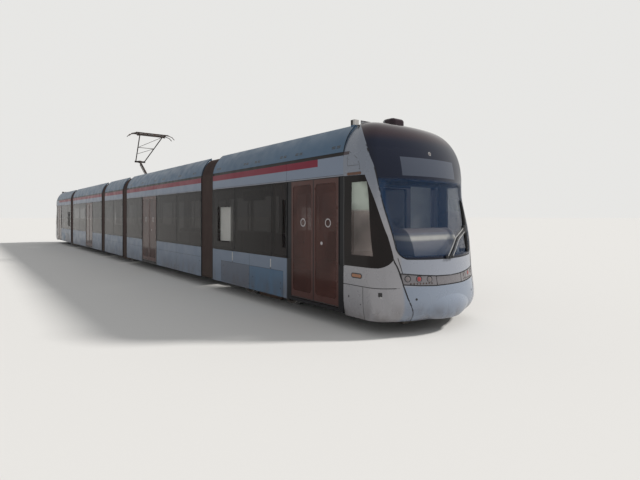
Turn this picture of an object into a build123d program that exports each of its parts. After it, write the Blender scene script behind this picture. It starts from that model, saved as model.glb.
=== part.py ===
from build123d import *
import os

os.makedirs("parts", exist_ok=True)

# Five-section low-floor tram. Millimetres. +X is forward, +Y the left side, +Z up.
# z = 0 is the lowest point of the wheel flanges, the floor that the tram stands on.

# Running gear
FLANGE_R = 351.0
TREAD_R = 325.0
RAIL = FLANGE_R - TREAD_R
WHEEL_BACK = 680.0
FLANGE_T = 32.0
WHEEL_T = 120.0
AXLE_R = 70.0
JOURNAL_R = 55.0
BORE_R = 55.08
PIVOT_R = 60.0
FIT = 0.08
JOURNAL_END = 935.0
WHEELBASE = 1800.0
BOGIE_X = 11830.0
BEAM_Y0 = 845.0
BEAM_Y1 = 945.0

# Body shell
HALF_W = 1325.0
WALL = 60.0
WALL_IN = HALF_W - WALL
GLASS_T = 12.0
SKIRT_Z = 286.0
BAND_LO = 1081.0
BAND_HI = 2604.0
WALL_TOP = 2950.0
DRIP_TOP = 3013.0
FAIR_Z = 3505.0
FAIR_Y = 1025.0
FAIR_T = 25.0
FLOOR_TOP = 386.0
FLOOR_LO = 300.0
AISLE_TOP = 500.0
AISLE_LO = 455.0
BOX_TOP = 790.0
BOX_IN = 520.0
BOX_T = 25.0
BOX_HALF = 1480.0
CAB_FLOOR = 560.0
DESK_HOOD = 620.0

# Sections along the tram
CAB_REAR = 9920.0
CAB_X = 15020.0
JOINT_OUT = 9575.0
MID_FRONT = 9230.0
MID_REAR = 2070.0
JOINT_IN = 1785.0
CENTRE_X = 1500.0

# Doors, from sill to head
DOOR_LO = 346.0
DOOR_HI = 2590.0
CAB_DOOR = (13470.0, 14900.0)
MID_DOOR = (4090.0, 5540.0)
LEAF_T = 40.0
LEAF_GAP = 10.0

# Pantograph
PANTO_BASE = (780.0, 3446.0)
PANTO_KNEE = (-680.0, 4426.0)
PANTO_HEAD = (920.0, 5396.0)
STRIP_TOP = 5486.0


def block(x0, x1, y0, y1, z0, z1, mode=Mode.ADD):
    """A box between two corners, in the builder that is open."""
    with Locations(((x0 + x1) / 2, (y0 + y1) / 2, (z0 + z1) / 2)):
        Box(abs(x1 - x0), abs(y1 - y0), abs(z1 - z0), mode=mode)


def rod(start, end, radius, mode=Mode.ADD):
    """A round rod between two points, in the builder that is open."""
    line = Edge.make_line(start, end)
    with BuildSketch(Plane(origin=start, z_dir=line % 0)) as section:
        Circle(radius)
    extrude(section.sketch, amount=line.length, mode=mode)


def pin(x, y, z0, z1, radius, mode=Mode.ADD):
    """An upright round pin."""
    with Locations((x, y, (z0 + z1) / 2)):
        Cylinder(radius, z1 - z0, mode=mode)


def across(x, z, y0, y1, radius, mode=Mode.ADD):
    """A round bar that lies across the tram."""
    with Locations((x, (y0 + y1) / 2, z)):
        Cylinder(radius, y1 - y0, rotation=(90, 0, 0), mode=mode)


def side_walls(x0, x1, openings, door, seams):
    """Two walls with window and door openings, a recess for the glass and cut panel seams."""
    for side in (-1, 1):
        inside = side * (WALL_IN - 5)
        outside = side * (HALF_W + 5)
        block(x0, x1, side * WALL_IN, side * HALF_W, SKIRT_Z, WALL_TOP)
        for seam_x0, seam_x1, seam_z0, seam_z1 in seams:
            block(seam_x0, seam_x1, side * (HALF_W - 6), outside, seam_z0, seam_z1, Mode.SUBTRACT)
        block(x0, x1, side * (HALF_W - GLASS_T), outside, BAND_LO, BAND_HI, Mode.SUBTRACT)
        for lo, hi in openings:
            block(lo, hi, inside, outside, BAND_LO + 60, BAND_HI - 60, Mode.SUBTRACT)
        if door:
            block(door[0], door[1], inside, outside, DOOR_LO, DOOR_HI, Mode.SUBTRACT)


def roof_shell(x0, x1):
    """Roof deck with the two curved side fairings that stand on it."""
    block(x0, x1, -HALF_W + 13, HALF_W - 13, WALL_TOP, DRIP_TOP)
    for side in (-1, 1):
        with BuildSketch(Plane.YZ.offset(x0)) as section:
            with BuildLine():
                outer = ThreePointArc(
                    (side * (HALF_W - 5), DRIP_TOP - 2),
                    (side * 1222, 3283),
                    (side * FAIR_Y, FAIR_Z),
                )
                Line(outer @ 1, (side * (FAIR_Y - 12), FAIR_Z - FAIR_T))
                inner = ThreePointArc(
                    (side * (FAIR_Y - 12), FAIR_Z - FAIR_T),
                    (side * 1198, 3270),
                    (side * (HALF_W - 32), DRIP_TOP - 2),
                )
                Line(inner @ 1, outer @ 0)
            make_face()
        extrude(section.sketch, amount=x1 - x0)


def panes(table):
    """Side window panes, one per row, on both sides."""
    for lo, hi in table:
        for side in (-1, 1):
            block(lo, hi, side * (HALF_W - GLASS_T), side * HALF_W, BAND_LO + 3, BAND_HI - 3)


def leaf_starts(door):
    """Where each of the two leaves of a doorway begins, and how wide a leaf is."""
    width = (door[1] - door[0] - 3 * LEAF_GAP) / 2
    return [door[0] + LEAF_GAP, door[0] + 2 * LEAF_GAP + width], width


def leaf_light(lo, width, side, depth0, depth1, mode):
    """The round-cornered light of one leaf, cut or filled between two depths."""
    z0 = DOOR_LO + 140
    z1 = DOOR_HI - 80
    with BuildSketch(Plane.XZ.offset(-side * (HALF_W - depth0))) as section:
        with Locations((lo + width / 2, (z0 + z1) / 2)):
            RectangleRounded(width - 110, z1 - z0, 70)
    extrude(section.sketch, amount=side * (depth1 - depth0), mode=mode)


def door_leaves(door):
    """Two leaves a side, each a frame with its opening for the glass."""
    starts, width = leaf_starts(door)
    for side in (-1, 1):
        for lo in starts:
            block(lo, lo + width, side * (HALF_W - 4 - LEAF_T), side * (HALF_W - 4), DOOR_LO + 10, DOOR_HI)
            leaf_light(lo, width, side, 0, 60, Mode.SUBTRACT)
        with Locations((starts[1] + 28, side * (HALF_W - 6), 1180)):
            Cylinder(20, 16, rotation=(90, 0, 0))


def door_glass(door):
    """The glass that fills the openings of the leaves."""
    starts, width = leaf_starts(door)
    for side in (-1, 1):
        for lo in starts:
            leaf_light(lo, width, side, 8, 36, Mode.ADD)


def raised_aisle(centre):
    """Raised aisle over the axles between two risers, with the bogie's pin below it."""
    x0 = centre - BOX_HALF
    x1 = centre + BOX_HALF
    block(x0, x1, -BOX_IN - BOX_T, BOX_IN + BOX_T, AISLE_LO, AISLE_TOP)
    block(x0, x0 + BOX_T, -WALL_IN, WALL_IN, FLOOR_LO, AISLE_TOP)
    block(x1 - BOX_T, x1, -WALL_IN, WALL_IN, FLOOR_LO, AISLE_TOP)
    pin(centre, 0, 262, AISLE_LO + 5, PIVOT_R)


def wheel_boxes(centre):
    """The box over the wheels on each side: side wall, two end plates and lid."""
    x0 = centre - BOX_HALF
    x1 = centre + BOX_HALF
    for side in (-1, 1):
        block(x0, x1, side * BOX_IN, side * (BOX_IN + BOX_T), AISLE_TOP, BOX_TOP)
        block(x0, x1, side * BOX_IN, side * WALL_IN, BOX_TOP - 30, BOX_TOP)
        block(x0, x0 + BOX_T, side * BOX_IN, side * WALL_IN, AISLE_TOP, BOX_TOP)
        block(x1 - BOX_T, x1, side * BOX_IN, side * WALL_IN, AISLE_TOP, BOX_TOP)


def low_floor(x0, x1):
    """Low floor slab with sole bars and cross ribs below it."""
    block(x0, x1, -WALL_IN, WALL_IN, FLOOR_LO, FLOOR_TOP)
    for side in (-1, 1):
        block(x0, x1, side * 1120, side * 1200, 272, FLOOR_LO + 5)
    count = max(int((x1 - x0) / 700), 1)
    for index in range(count):
        rib = x0 + (x1 - x0) * (index + 0.5) / count
        block(rib - 30, rib + 30, -1125, 1125, 282, FLOOR_LO + 5)


def jack_pad(x):
    """Round pad under each sole bar for a workshop jack."""
    for side in (-1, 1):
        pin(x, side * 1160, 262, 290, 55)


def tongue_lower(end_x, axis_x, radius):
    """Lower half of an articulation: a tongue with the bore for the pin."""
    sign = 1 if end_x > axis_x else -1
    block(axis_x, end_x + sign * 40, -radius, radius, FLOOR_LO, 326)
    pin(axis_x, 0, FLOOR_LO, 326, radius)
    pin(axis_x, 0, FLOOR_LO - 10, 400, PIVOT_R + FIT, Mode.SUBTRACT)


def tongue_upper(end_x, axis_x, radius):
    """Upper half of an articulation: the walkway disc with the pin below it."""
    sign = 1 if end_x > axis_x else -1
    block(axis_x, end_x + sign * 40, -radius, radius, 334, FLOOR_TOP)
    pin(axis_x, 0, 334, FLOOR_TOP, radius)
    pin(axis_x, 0, 292, 340, PIVOT_R)


def bellows_rings(x0, x1, count):
    """Corrugated gangway bellows as a row of hoops, high and low in turn."""
    pitch = (x1 - x0) / count
    for index in range(count):
        step = 0 if index % 2 else 26
        half = [
            (1240, 290),
            (1310 - step, 290),
            (1310 - step, 3000),
            (1212 - step, 3275 - step / 2),
            (1020 - step, 3470 - step),
            (980, 3400),
            (1150, 3230),
            (1240, 2985),
        ]
        with BuildSketch(Plane.YZ.offset(x0 + index * pitch)) as section:
            with BuildLine():
                right = half[1:5] + [(-y, z) for y, z in reversed(half[1:5])]
                left = [(-y, z) for y, z in [half[0]] + half[:4:-1]]
                Polyline(*right, *left, *half[5:], half[0], close=True)
            make_face()
        extrude(section.sketch, amount=pitch)


def wheelset(x):
    """Axle with its two flanged wheels, turned about the axle line."""
    profile = [
        (0, 0),
        (JOURNAL_R, 0),
        (JOURNAL_R, 110),
        (AXLE_R, 120),
        (AXLE_R, 2 * JOURNAL_END - 120),
        (JOURNAL_R, 2 * JOURNAL_END - 110),
        (JOURNAL_R, 2 * JOURNAL_END),
        (0, 2 * JOURNAL_END),
    ]
    plane = Plane(origin=(x, -JOURNAL_END, FLANGE_R), x_dir=(0, 0, 1), z_dir=(-1, 0, 0))
    with BuildSketch(plane) as axle_sketch:
        with BuildLine():
            Polyline(*profile, close=True)
        make_face()
    revolve(axle_sketch.sketch, axis=Axis((x, 0, FLANGE_R), (0, 1, 0)))
    for side in (-1, 1):
        wheel_plane = Plane(origin=(x, 0, FLANGE_R), x_dir=(0, 0, 1), z_dir=(1, 0, 0))
        with BuildSketch(wheel_plane) as wheel_sketch:
            with BuildLine():
                y = side * WHEEL_BACK
                s = side
                Polyline(
                    (AXLE_R - 5, y),
                    (110, y),
                    (125, y + s * 25),
                    (250, y + s * 35),
                    (262, y),
                    (FLANGE_R - 8, y),
                    (FLANGE_R, y + s * 10),
                    (FLANGE_R - 6, y + s * 22),
                    (TREAD_R + 4, y + s * FLANGE_T),
                    (TREAD_R, y + s * (FLANGE_T + 6)),
                    (TREAD_R - 4, y + s * WHEEL_T),
                    (262, y + s * WHEEL_T),
                    (250, y + s * 75),
                    (125, y + s * 60),
                    (110, y + s * 110),
                    (AXLE_R - 5, y + s * 110),
                    close=True,
                )
            make_face()
        revolve(wheel_sketch.sketch, axis=Axis((x, 0, FLANGE_R), (0, 1, 0)))


BEAM = [
    (-1150, 340),
    (-1150, 425),
    (-1030, 478),
    (-770, 478),
    (-600, 415),
    (600, 415),
    (770, 478),
    (1030, 478),
    (1150, 425),
    (1150, 340),
    (1060, 335),
    (1060, 420),
    (740, 420),
    (560, 300),
    (-560, 300),
    (-740, 420),
    (-1060, 420),
    (-1060, 335),
]


def bogie_frame():
    """Welded frame outside the wheels, with axle boxes, motors and track brakes."""
    half = WHEELBASE / 2
    corners = [(end * half, side * 895) for end in (-1, 1) for side in (-1, 1)]
    with BuildSketch(Plane.XZ.offset(-BEAM_Y0)) as section:
        with BuildLine():
            Polyline(*BEAM, close=True)
        make_face()
    extrude(section.sketch, amount=-(BEAM_Y1 - BEAM_Y0))
    with Locations(*[(x, 895, FLANGE_R) for x in (-half, half)]):
        Cylinder(92, 104, rotation=(90, 0, 0))
    with Locations(*[(x, 895, 386) for x in (-half, half)]):
        Box(184, 90, 72)
    with Locations(*[(x + w, 895, 377) for x in (-half, half) for w in (-111, 111)]):
        Box(48, 66, 94)
    with Locations(*[(x, 895, 266) for x in (-half, half)]):
        Box(90, 86, 68)
    block(-480, 480, 705, 775, 66, 128)
    with Locations(*[(-395 + 158 * shoe, 740, (RAIL + 82) / 2) for shoe in range(6)]):
        Box(150, 80, 70 - RAIL - 12)
    with Locations((-400, 740, 228), (400, 740, 228)):
        Box(50, 50, 206)
    with Locations((-400, 785, 335), (400, 785, 335)):
        Box(50, 140, 30)
    springs = [(x, 895) for x in (-190, 190)]
    with Locations(*[(x, y, 420) for x, y in springs], *[(x, y, 602) for x, y in springs]):
        Cylinder(88, 20)
    with Locations(*[(x, y, 511) for x, y in springs]):
        Cylinder(50, 166)
    with Locations(*[(x, y, 448 + 42 * coil) for x, y in springs for coil in range(4)]):
        Cylinder(72, 20)
    with Locations((-330, 440, 345), (330, 440, 345)):
        Cylinder(62, 880, rotation=(90, 0, 0))
    mirror(about=Plane.XZ)
    block(-340, 340, -150, 150, 285, 395)
    for end in (-1, 1):
        across(end * 560, 345, end * 90 - 230, end * 90 + 230, 92)
        block(end * 340, end * 560, end * 90 - 160, end * 90 + 160, 300, 380)
        case_y = -end * 200
        across(end * 560, 345, min(case_y, end * 90), max(case_y, end * 90), 60)
        with BuildSketch(Plane.XZ.offset(-min(case_y, case_y - end * 110))) as case:
            with BuildLine():
                Polyline(
                    (end * 470, 260),
                    (end * 470, 432),
                    (end * 940, 442),
                    (end * 1000, 400),
                    (end * 1000, 300),
                    (end * 940, 250),
                    close=True,
                )
            make_face()
        extrude(case.sketch, amount=-110)
    with Locations(*[(x, y, FLANGE_R) for x, y in corners]):
        Cylinder(BORE_R, 240, rotation=(90, 0, 0), mode=Mode.SUBTRACT)
    with Locations((-half, 0, FLANGE_R), (half, 0, FLANGE_R)):
        Cylinder(AXLE_R + 8, 1200, rotation=(90, 0, 0), mode=Mode.SUBTRACT)
    pin(0, 0, 200, 460, PIVOT_R + FIT, Mode.SUBTRACT)


# Nose sections: height, half width, corner radius, front radius, tip
NOSE = [
    (246.0, 1275.0, 350.0, 2100.0, 16140.0),
    (526.0, 1322.0, 350.0, 2150.0, 16265.0),
    (886.0, 1324.0, 330.0, 2150.0, 16220.0),
    (1226.0, 1324.0, 320.0, 2200.0, 16180.0),
    (2026.0, 1324.0, 300.0, 2354.0, 16015.0),
    (2626.0, 1324.0, 300.0, 2900.0, 15885.0),
    (2996.0, 1312.0, 300.0, 3400.0, 15790.0),
    (3276.0, 1200.0, 300.0, 3400.0, 15660.0),
    (3476.0, 1020.0, 300.0, 3200.0, 15470.0),
    (3586.0, 800.0, 300.0, 3000.0, 15200.0),
    (3646.0, 560.0, 250.0, 2500.0, 14950.0),
]


def nose_sketch(row, inset, rear):
    """Plan section of the nose: two sides, two corner arcs and one wide front arc."""
    z, half, corner, front, tip = row
    half = half - inset
    corner = corner - inset / 2
    tip = tip - inset
    centre_y = half - corner
    centre_x = (tip - front) + ((front - corner) ** 2 - centre_y**2) ** 0.5
    away = ((centre_x - tip + front) ** 2 + centre_y**2) ** 0.5
    unit_x = (centre_x - tip + front) / away
    unit_y = centre_y / away
    tangent = (tip - front + unit_x * front, unit_y * front)
    angle_x = (unit_x + 0.0) / 2
    angle_y = (unit_y + 1.0) / 2
    size = (angle_x**2 + angle_y**2) ** 0.5
    middle = (centre_x + corner * angle_x / size, centre_y + corner * angle_y / size)
    with BuildSketch(Plane.XY.offset(z)) as section:
        with BuildLine():
            Line((rear, half), (rear, -half))
            Line((rear, -half), (centre_x, -half))
            ThreePointArc((centre_x, -half), (middle[0], -middle[1]), (tangent[0], -tangent[1]))
            ThreePointArc((tangent[0], -tangent[1]), (tip, 0), tangent)
            ThreePointArc(tangent, middle, (centre_x, half))
            Line((centre_x, half), (rear, half))
        make_face()
    return section.sketch.face()


def nose_solid(inset, rear, mode=Mode.ADD):
    """The whole nose as one lofted solid, taken in by an even distance."""
    loft([nose_sketch(row, inset, rear) for row in NOSE], mode=mode)


def front_view_cut(points, x0, x1, mode):
    """Cut or keep along X with an outline given as (y, z)."""
    with BuildSketch(Plane.YZ.offset(x0)) as section:
        with BuildLine():
            Polyline(*points, close=True)
        make_face()
    extrude(section.sketch, amount=x1 - x0, mode=mode)


# Windscreen and brow as seen from the front: arcs of the left half, each start, middle, end (y, z)
SCREEN_FOOT = 1222.0
SCREEN_ARCS = [
    ((850.0, 1240.0), (968.0, 1320.0), (1015.0, 1450.0)),
    ((1015.0, 1450.0), (1058.0, 1767.0), (1111.0, 2250.0)),
    ((1111.0, 2250.0), (1150.0, 2500.0), (1212.0, 2801.0)),
    ((1212.0, 2801.0), (1236.0, 2980.0), (1219.0, 3127.0)),
    ((1219.0, 3127.0), (1140.0, 3335.0), (943.0, 3527.0)),
]
SCREEN_TOP = 3800.0


def screen_cut(x0, x1, mode, gap=0.0):
    """Cut or keep along X with the outline of the windscreen and brow, grown by a gap."""
    foot_y, foot_z = SCREEN_ARCS[0][0]
    head_y, head_z = SCREEN_ARCS[-1][2]
    with BuildSketch(Plane.YZ.offset(x0)) as section:
        with BuildLine():
            ThreePointArc((-foot_y, foot_z), (0, SCREEN_FOOT), (foot_y, foot_z))
            for side in (-1, 1):
                for arc in SCREEN_ARCS:
                    ThreePointArc(*[(side * y, z) for y, z in arc])
                Line((side * head_y, head_z), (side * head_y, SCREEN_TOP))
            Line((-head_y, SCREEN_TOP), (head_y, SCREEN_TOP))
        make_face()
        if gap > 0:
            offset(amount=gap, kind=Kind.INTERSECTION)
    extrude(section.sketch, amount=x1 - x0, mode=mode)


# Cab side window as seen from the side (x, z), open towards the doors at the rear
CAB_WINDOW_REAR = 15040.0
CAB_WINDOW_IN = 1020.0
PILLAR_GAP = 6.0


def cab_window_cut(y0, y1, mode):
    """Cut or keep along Y with the outline of the cab side window."""
    with BuildSketch(Plane.XZ.offset(-y1)) as section:
        with BuildLine():
            Line((CAB_WINDOW_REAR, 2600), (CAB_WINDOW_REAR, 1096))
            Line((CAB_WINDOW_REAR, 1096), (15765, 1100))
            ThreePointArc((15765, 1100), (15868, 1150), (15905, 1285))
            ThreePointArc((15905, 1285), (15885, 1395), (15837, 1600))
            Line((15837, 1600), (15505, 2594))
            Line((15505, 2594), (CAB_WINDOW_REAR, 2600))
        make_face()
    extrude(section.sketch, amount=y1 - y0, mode=mode)


with BuildPart() as shell_outer:
    nose_solid(0, 14400.0)
with BuildPart() as shell_inner:
    nose_solid(55.0, 14300.0)
with BuildPart() as shell_groove:
    nose_solid(8.0, 14350.0)
with BuildPart() as nose_shell:
    add(shell_outer.part)
    add(shell_inner.part, mode=Mode.SUBTRACT)
    block(14000, CAB_X, -1500, 1500, 0, 4000, Mode.SUBTRACT)


def band_cut(inset, x0, x1, mode):
    """Cut or keep along X with the outline of the lamp band, taken in by an even distance."""
    outline = BAND_HALF + [(-y, z) for y, z in reversed(BAND_HALF[1:-1])]
    with BuildSketch(Plane.YZ.offset(x0)) as section:
        with BuildLine():
            Polyline(*outline, close=True)
        make_face()
        if inset > 0:
            offset(amount=-inset, kind=Kind.INTERSECTION)
    extrude(section.sketch, amount=x1 - x0, mode=mode)


def front_spot(y, z):
    """A point of the nose's front arc seen from the front, and the level normal there."""
    for low, high in zip(NOSE, NOSE[1:]):
        if low[0] <= z <= high[0]:
            share = (z - low[0]) / (high[0] - low[0])
            radius = low[3] + (high[3] - low[3]) * share
            tip = low[4] + (high[4] - low[4]) * share
    depth = (radius**2 - y**2) ** 0.5
    return Vector(tip - radius + depth, y, z), Vector(depth / radius, y / radius, 0)


def inner_slab(x0, x1, half, z0, z1):
    """A level plate that fills the nose from wall to wall between two heights."""
    add(shell_inner.part.intersect(Solid.make_box(x1 - x0, 2 * half, z1 - z0, Plane((x0, -half, z0)))))


# Seam between the bumper mask and the side panel, left half as (y, z), and its width
MASK_SEAM = [
    (1062, 1265),
    (1034, 1185),
    (1004, 1120),
    (978, 1040),
    (941, 850),
    (888, 630),
    (800, 405),
    (762, 240),
]
MASK_SEAM_W = 13.0

# Thin seam beside it, from the windscreen down to the lamp band
CORNER_SEAM = [(992, 1262), (957, 1121), (932, 1006)]
CORNER_SEAM_W = 5.0

# Grooves of the cab side panel: x0, x1, z0, z1
CAB_SEAMS = [(15024, 15990, 784, 790), (15489, 15495, 240, 787)]

# Lamp band across the front, left half as (y, z), with the gap round it and its divider
BAND_HALF = [
    (0.0, 797.0),
    (367.0, 797.0),
    (682.0, 814.0),
    (944.0, 838.0),
    (975.0, 1019.0),
    (635.0, 981.0),
    (324.0, 956.0),
    (0.0, 947.0),
]
BAND_GAP = 6.0
BAND_DIVIDER = 335.0

# Lamps in the band, left half (y, z), with the radius of the lens and of the groove round it
LAMPS = [(863.0, 929.0), (674.0, 919.0), (480.0, 907.0)]
LENS_R = 44.0
LENS_RING = 52.0

# Rounded bulge low on the bumper: centre x, height, half width, reach, and where its ends stop
BULGE_X = 16045.0
BULGE_Z = 445.0
BULGE_HALF = 760.0
BULGE_R = 285.0
BULGE_END = 700.0

# Equipment on the roofs: x0, x1, half width, top, number of louvre bars
CAB_ROOF_BOXES = [(10150, 12350, 860, 3450, 9), (12550, 13350, 700, 3360, 4), (13500, 14750, 820, 3480, 5)]
MID_ROOF_BOXES = [
    (2350, 3350, 760, 3380, 4),
    (3550, 6150, 880, 3470, 11),
    (6350, 7750, 800, 3430, 6),
    (7900, 8950, 620, 3330, 3),
]


# One fan ring with its hub and spokes
with BuildPart() as fan_ring:
    Cylinder(210, 18)
    Cylinder(180, 40, mode=Mode.SUBTRACT)
    Cylinder(60, 18)
    Box(380, 24, 12)
    Box(24, 380, 12)


def roof_boxes(table):
    """Equipment cases between the fairings, with louvre bars and two fan rings on the lid."""
    for x0, x1, half, top, bars in table:
        block(x0, x1, -half, half, DRIP_TOP - 3, top - 30)
        block(x0 + 40, x1 - 40, -half + 40, half - 40, top - 35, top - 12)
        pitch = (x1 - x0 - 160) / bars
        inner = half * 0.35
        outer = half - 90
        spots = [
            (x0 + 80 + pitch * (index + 0.5), side * (inner + outer) / 2, top - 7.5)
            for index in range(bars)
            for side in (-1, 1)
        ]
        with Locations(*spots):
            Box(pitch * 0.6, outer - inner, 15)
        if x1 - x0 > 1300:
            fans = [(x0 + (x1 - x0) * share, 0, top - 6) for share in (0.3, 0.7)]
            with Locations(*fans):
                add(fan_ring.part)


def fairing_ribs(table):
    """Triangular brackets that hold the side fairings on the deck."""
    for x in table:
        for side in (-1, 1):
            with BuildSketch(Plane.YZ.offset(x)) as section:
                with BuildLine():
                    Polyline(
                        (side * 1285, DRIP_TOP - 2),
                        (side * 1192, 3270),
                        (side * 1015, FAIR_Z - 32),
                        (side * 985, 3440),
                        (side * 1150, DRIP_TOP + 150),
                        (side * 1200, DRIP_TOP - 2),
                        close=True,
                    )
                make_face()
            extrude(section.sketch, amount=12)


# Side view of a seat: forward from the front edge, height
SEAT = [
    (0, 0),
    (0, 330),
    (30, 360),
    (395, 350),
    (455, 1030),
    (480, 1045),
    (512, 1030),
    (445, 330),
    (300, 0),
]

# Seats: x of the front edge, way they face, inner edge, outer edge, cushion drop
MID_SEATS = [
    (6100, 1, 560, 1225, 0),
    (6900, 1, 560, 1225, 0),
    (7700, 1, 560, 1225, 0),
    (8500, 1, 560, 1225, 0),
    (2900, 1, 560, 1225, 0),
    (3300, -1, 560, 1225, 0),
]
CAB_SEATS = [
    (10600, 1, 560, 1225, 290),
    (11790, -1, 560, 1225, 290),
    (11870, 1, 560, 1225, 290),
    (13060, -1, 560, 1225, 290),
]
CENTRE_SEATS = [
    (-1230, 1, 560, 1225, 290),
    (-40, -1, 560, 1225, 290),
    (40, 1, 560, 1225, 290),
    (1230, -1, 560, 1225, 290),
]


def seats(rows, z):
    """Pairs of seats: x of the front edge, way they face, inner and outer edge, cushion drop."""
    for x, facing, y0, y1, drop in rows:
        for side in (-1, 1):
            with BuildSketch(Plane.XZ.offset(-min(side * y0, side * y1))) as section:
                with BuildLine():
                    points = [(x + facing * px, z + (pz if pz == 0 else pz - drop)) for px, pz in SEAT]
                    Polyline(*points, close=True)
                make_face()
            extrude(section.sketch, amount=-(y1 - y0))


def grab_poles(rows, top):
    """Upright grab poles: x, y, foot height."""
    for x, y, foot in rows:
        for side in (-1, 1):
            pin(x, side * y, foot, top, 17)


# Cab module, front: its rear twin is the same parts turned half round

with BuildPart() as front_floor:
    tongue_lower(CAB_REAR, JOINT_OUT, 300)
    low_floor(CAB_REAR, BOGIE_X - BOX_HALF)
    raised_aisle(BOGIE_X)
    low_floor(BOGIE_X + BOX_HALF, CAB_X)
    jack_pad(13400)
    inner_slab(CAB_X - 5, 16100, 1300, FLOOR_LO, FLOOR_TOP)
    block(15350, 15880, -800, 800, 180, FLOOR_LO + 5)

with BuildPart() as front_raised_floor:
    wheel_boxes(BOGIE_X)
    inner_slab(CAB_X, 16100, 1300, FLOOR_TOP, CAB_FLOOR)
    block(CAB_X - 60, CAB_X + 5, -1180, 1180, FLOOR_TOP, CAB_FLOOR)

with BuildPart() as front_walls:
    side_walls(
        CAB_REAR,
        CAB_X,
        [(10020, 11090), (11160, 12720), (12840, 13260)],
        CAB_DOOR,
        [
            (11827, 11833, 280, BAND_LO),
            (10418, 10424, 280, 816),
            (13188, 13194, 280, 816),
            (10418, 13194, 810, 816),
            (13317, 13323, 280, 2955),
            (CAB_REAR - 5, CAB_X + 5, 2624, 2630),
        ],
    )

with BuildPart() as roof_dome:
    add(nose_shell.part)
    screen_cut(CAB_X - 50, 16600, Mode.INTERSECT)
    block(14900, 16600, -1500, 1500, 3060, 3800, Mode.INTERSECT)

with BuildPart() as roof_cover:
    block(14800, 15100, -180, 180, 3590, 3748)
    fillet(roof_cover.edges().filter_by(Axis.Z), radius=90)
    fillet(roof_cover.edges().group_by(Axis.Z)[-1], radius=60)

with BuildPart() as front_roof:
    roof_shell(CAB_REAR, CAB_X)
    add(roof_dome.part)
    roof_boxes(CAB_ROOF_BOXES)
    fairing_ribs((CAB_REAR + 20, 11300, 12700, 14100))
    inner_slab(CAB_X - 2, 15650, 1300, 2950, 3000)
    block(CAB_X - 20, CAB_X, -900, 900, DRIP_TOP - 5, 3600)
    block(14640, CAB_X, -230, 230, DRIP_TOP - 5, 3620)
    add(roof_cover.part)
    for eye_side in (-1, 1):
        block(14900, 15000, eye_side * 945, eye_side * 1045, 3470, 3605)

with BuildPart() as front_doors:
    door_leaves(CAB_DOOR)

with BuildPart() as nose_bulge:
    with BuildSketch(Plane.XY.offset(BULGE_Z)) as bulge_section:
        with BuildLine():
            bulge_arc = ThreePointArc(
                (BULGE_X, -BULGE_HALF),
                (BULGE_X + BULGE_R, 0),
                (BULGE_X, BULGE_HALF),
            )
            Line(bulge_arc @ 1, bulge_arc @ 0)
        make_face()
        with Locations((BULGE_X + BULGE_R / 2, 0)):
            Rectangle(BULGE_R * 2, BULGE_END * 2, mode=Mode.INTERSECT)
    revolve(bulge_section.sketch, axis=Axis((BULGE_X, 0, BULGE_Z), (0, 1, 0)))
    block(15000, 16600, -1500, 1500, 0, NOSE[0][0], Mode.SUBTRACT)
    add(shell_inner.part, mode=Mode.SUBTRACT)
    block(15000, BULGE_X, -1500, 1500, 0, 1200, Mode.SUBTRACT)

with BuildPart() as seam_lines:
    for mask_side in (-1, 1):
        for line, width in ((MASK_SEAM, MASK_SEAM_W), (CORNER_SEAM, CORNER_SEAM_W)):
            seam = [(mask_side * y, z) for y, z in line]
            seam_back = [(mask_side * (y + width), z) for y, z in reversed(line)]
            front_view_cut(seam + seam_back, 15600, 16600, Mode.ADD)
        for seam_x0, seam_x1, seam_z0, seam_z1 in CAB_SEAMS:
            block(seam_x0, seam_x1, mask_side * 1000, mask_side * 1400, seam_z0, seam_z1)
    add(shell_groove.part, mode=Mode.SUBTRACT)

with BuildPart() as front_nose:
    add(nose_shell.part)
    screen_cut(CAB_X - 50, 16600, Mode.SUBTRACT)
    cab_window_cut(-1500, -CAB_WINDOW_IN, Mode.SUBTRACT)
    cab_window_cut(CAB_WINDOW_IN, 1500, Mode.SUBTRACT)
    band_cut(0, 15700, 16600, Mode.SUBTRACT)
    add(nose_bulge.part)
    add(seam_lines.part, mode=Mode.SUBTRACT)

with BuildPart() as front_windscreen:
    add(nose_shell.part)
    screen_cut(CAB_X - 50, 16600, Mode.INTERSECT)
    block(14000, 16600, -1500, 1500, 3060, 3800, Mode.SUBTRACT)

with BuildPart() as cab_side_glass:
    add(nose_shell.part)
    cab_window_cut(-1500, 1500, Mode.INTERSECT)
    block(15000, 16400, -CAB_WINDOW_IN, CAB_WINDOW_IN, 0, 4000, Mode.SUBTRACT)
    screen_cut(CAB_X - 50, 16600, Mode.SUBTRACT, PILLAR_GAP)

with BuildPart() as front_glazing:
    panes([(9926, 11110), (11130, 12760), (12780, 13312)])
    door_glass(CAB_DOOR)
    add(cab_side_glass.part)

# Lamp band: a panel just below the nose surface, grooved round its edge, divider and lenses

with BuildPart() as lamp_grooves:
    band_cut(0, 15600, 16600, Mode.ADD)
    band_cut(BAND_GAP, 15600, 16600, Mode.SUBTRACT)
    for mask_side in (-1, 1):
        block(15900, 16600, mask_side * BAND_DIVIDER - 2, mask_side * BAND_DIVIDER + 2, 790, 1000)
        for lamp_y, lamp_z in LAMPS:
            spot, normal = front_spot(mask_side * lamp_y, lamp_z)
            rod(spot - normal * 60, spot + normal * 60, LENS_RING)
            rod(spot - normal * 70, spot + normal * 70, LENS_R, Mode.SUBTRACT)
    nose_solid(20.0, 14350.0, Mode.SUBTRACT)

with BuildPart() as front_lamps:
    nose_solid(3.0, 14350.0)
    add(shell_inner.part, mode=Mode.SUBTRACT)
    band_cut(0, 15600, 16600, Mode.INTERSECT)
    add(lamp_grooves.part, mode=Mode.SUBTRACT)

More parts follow.
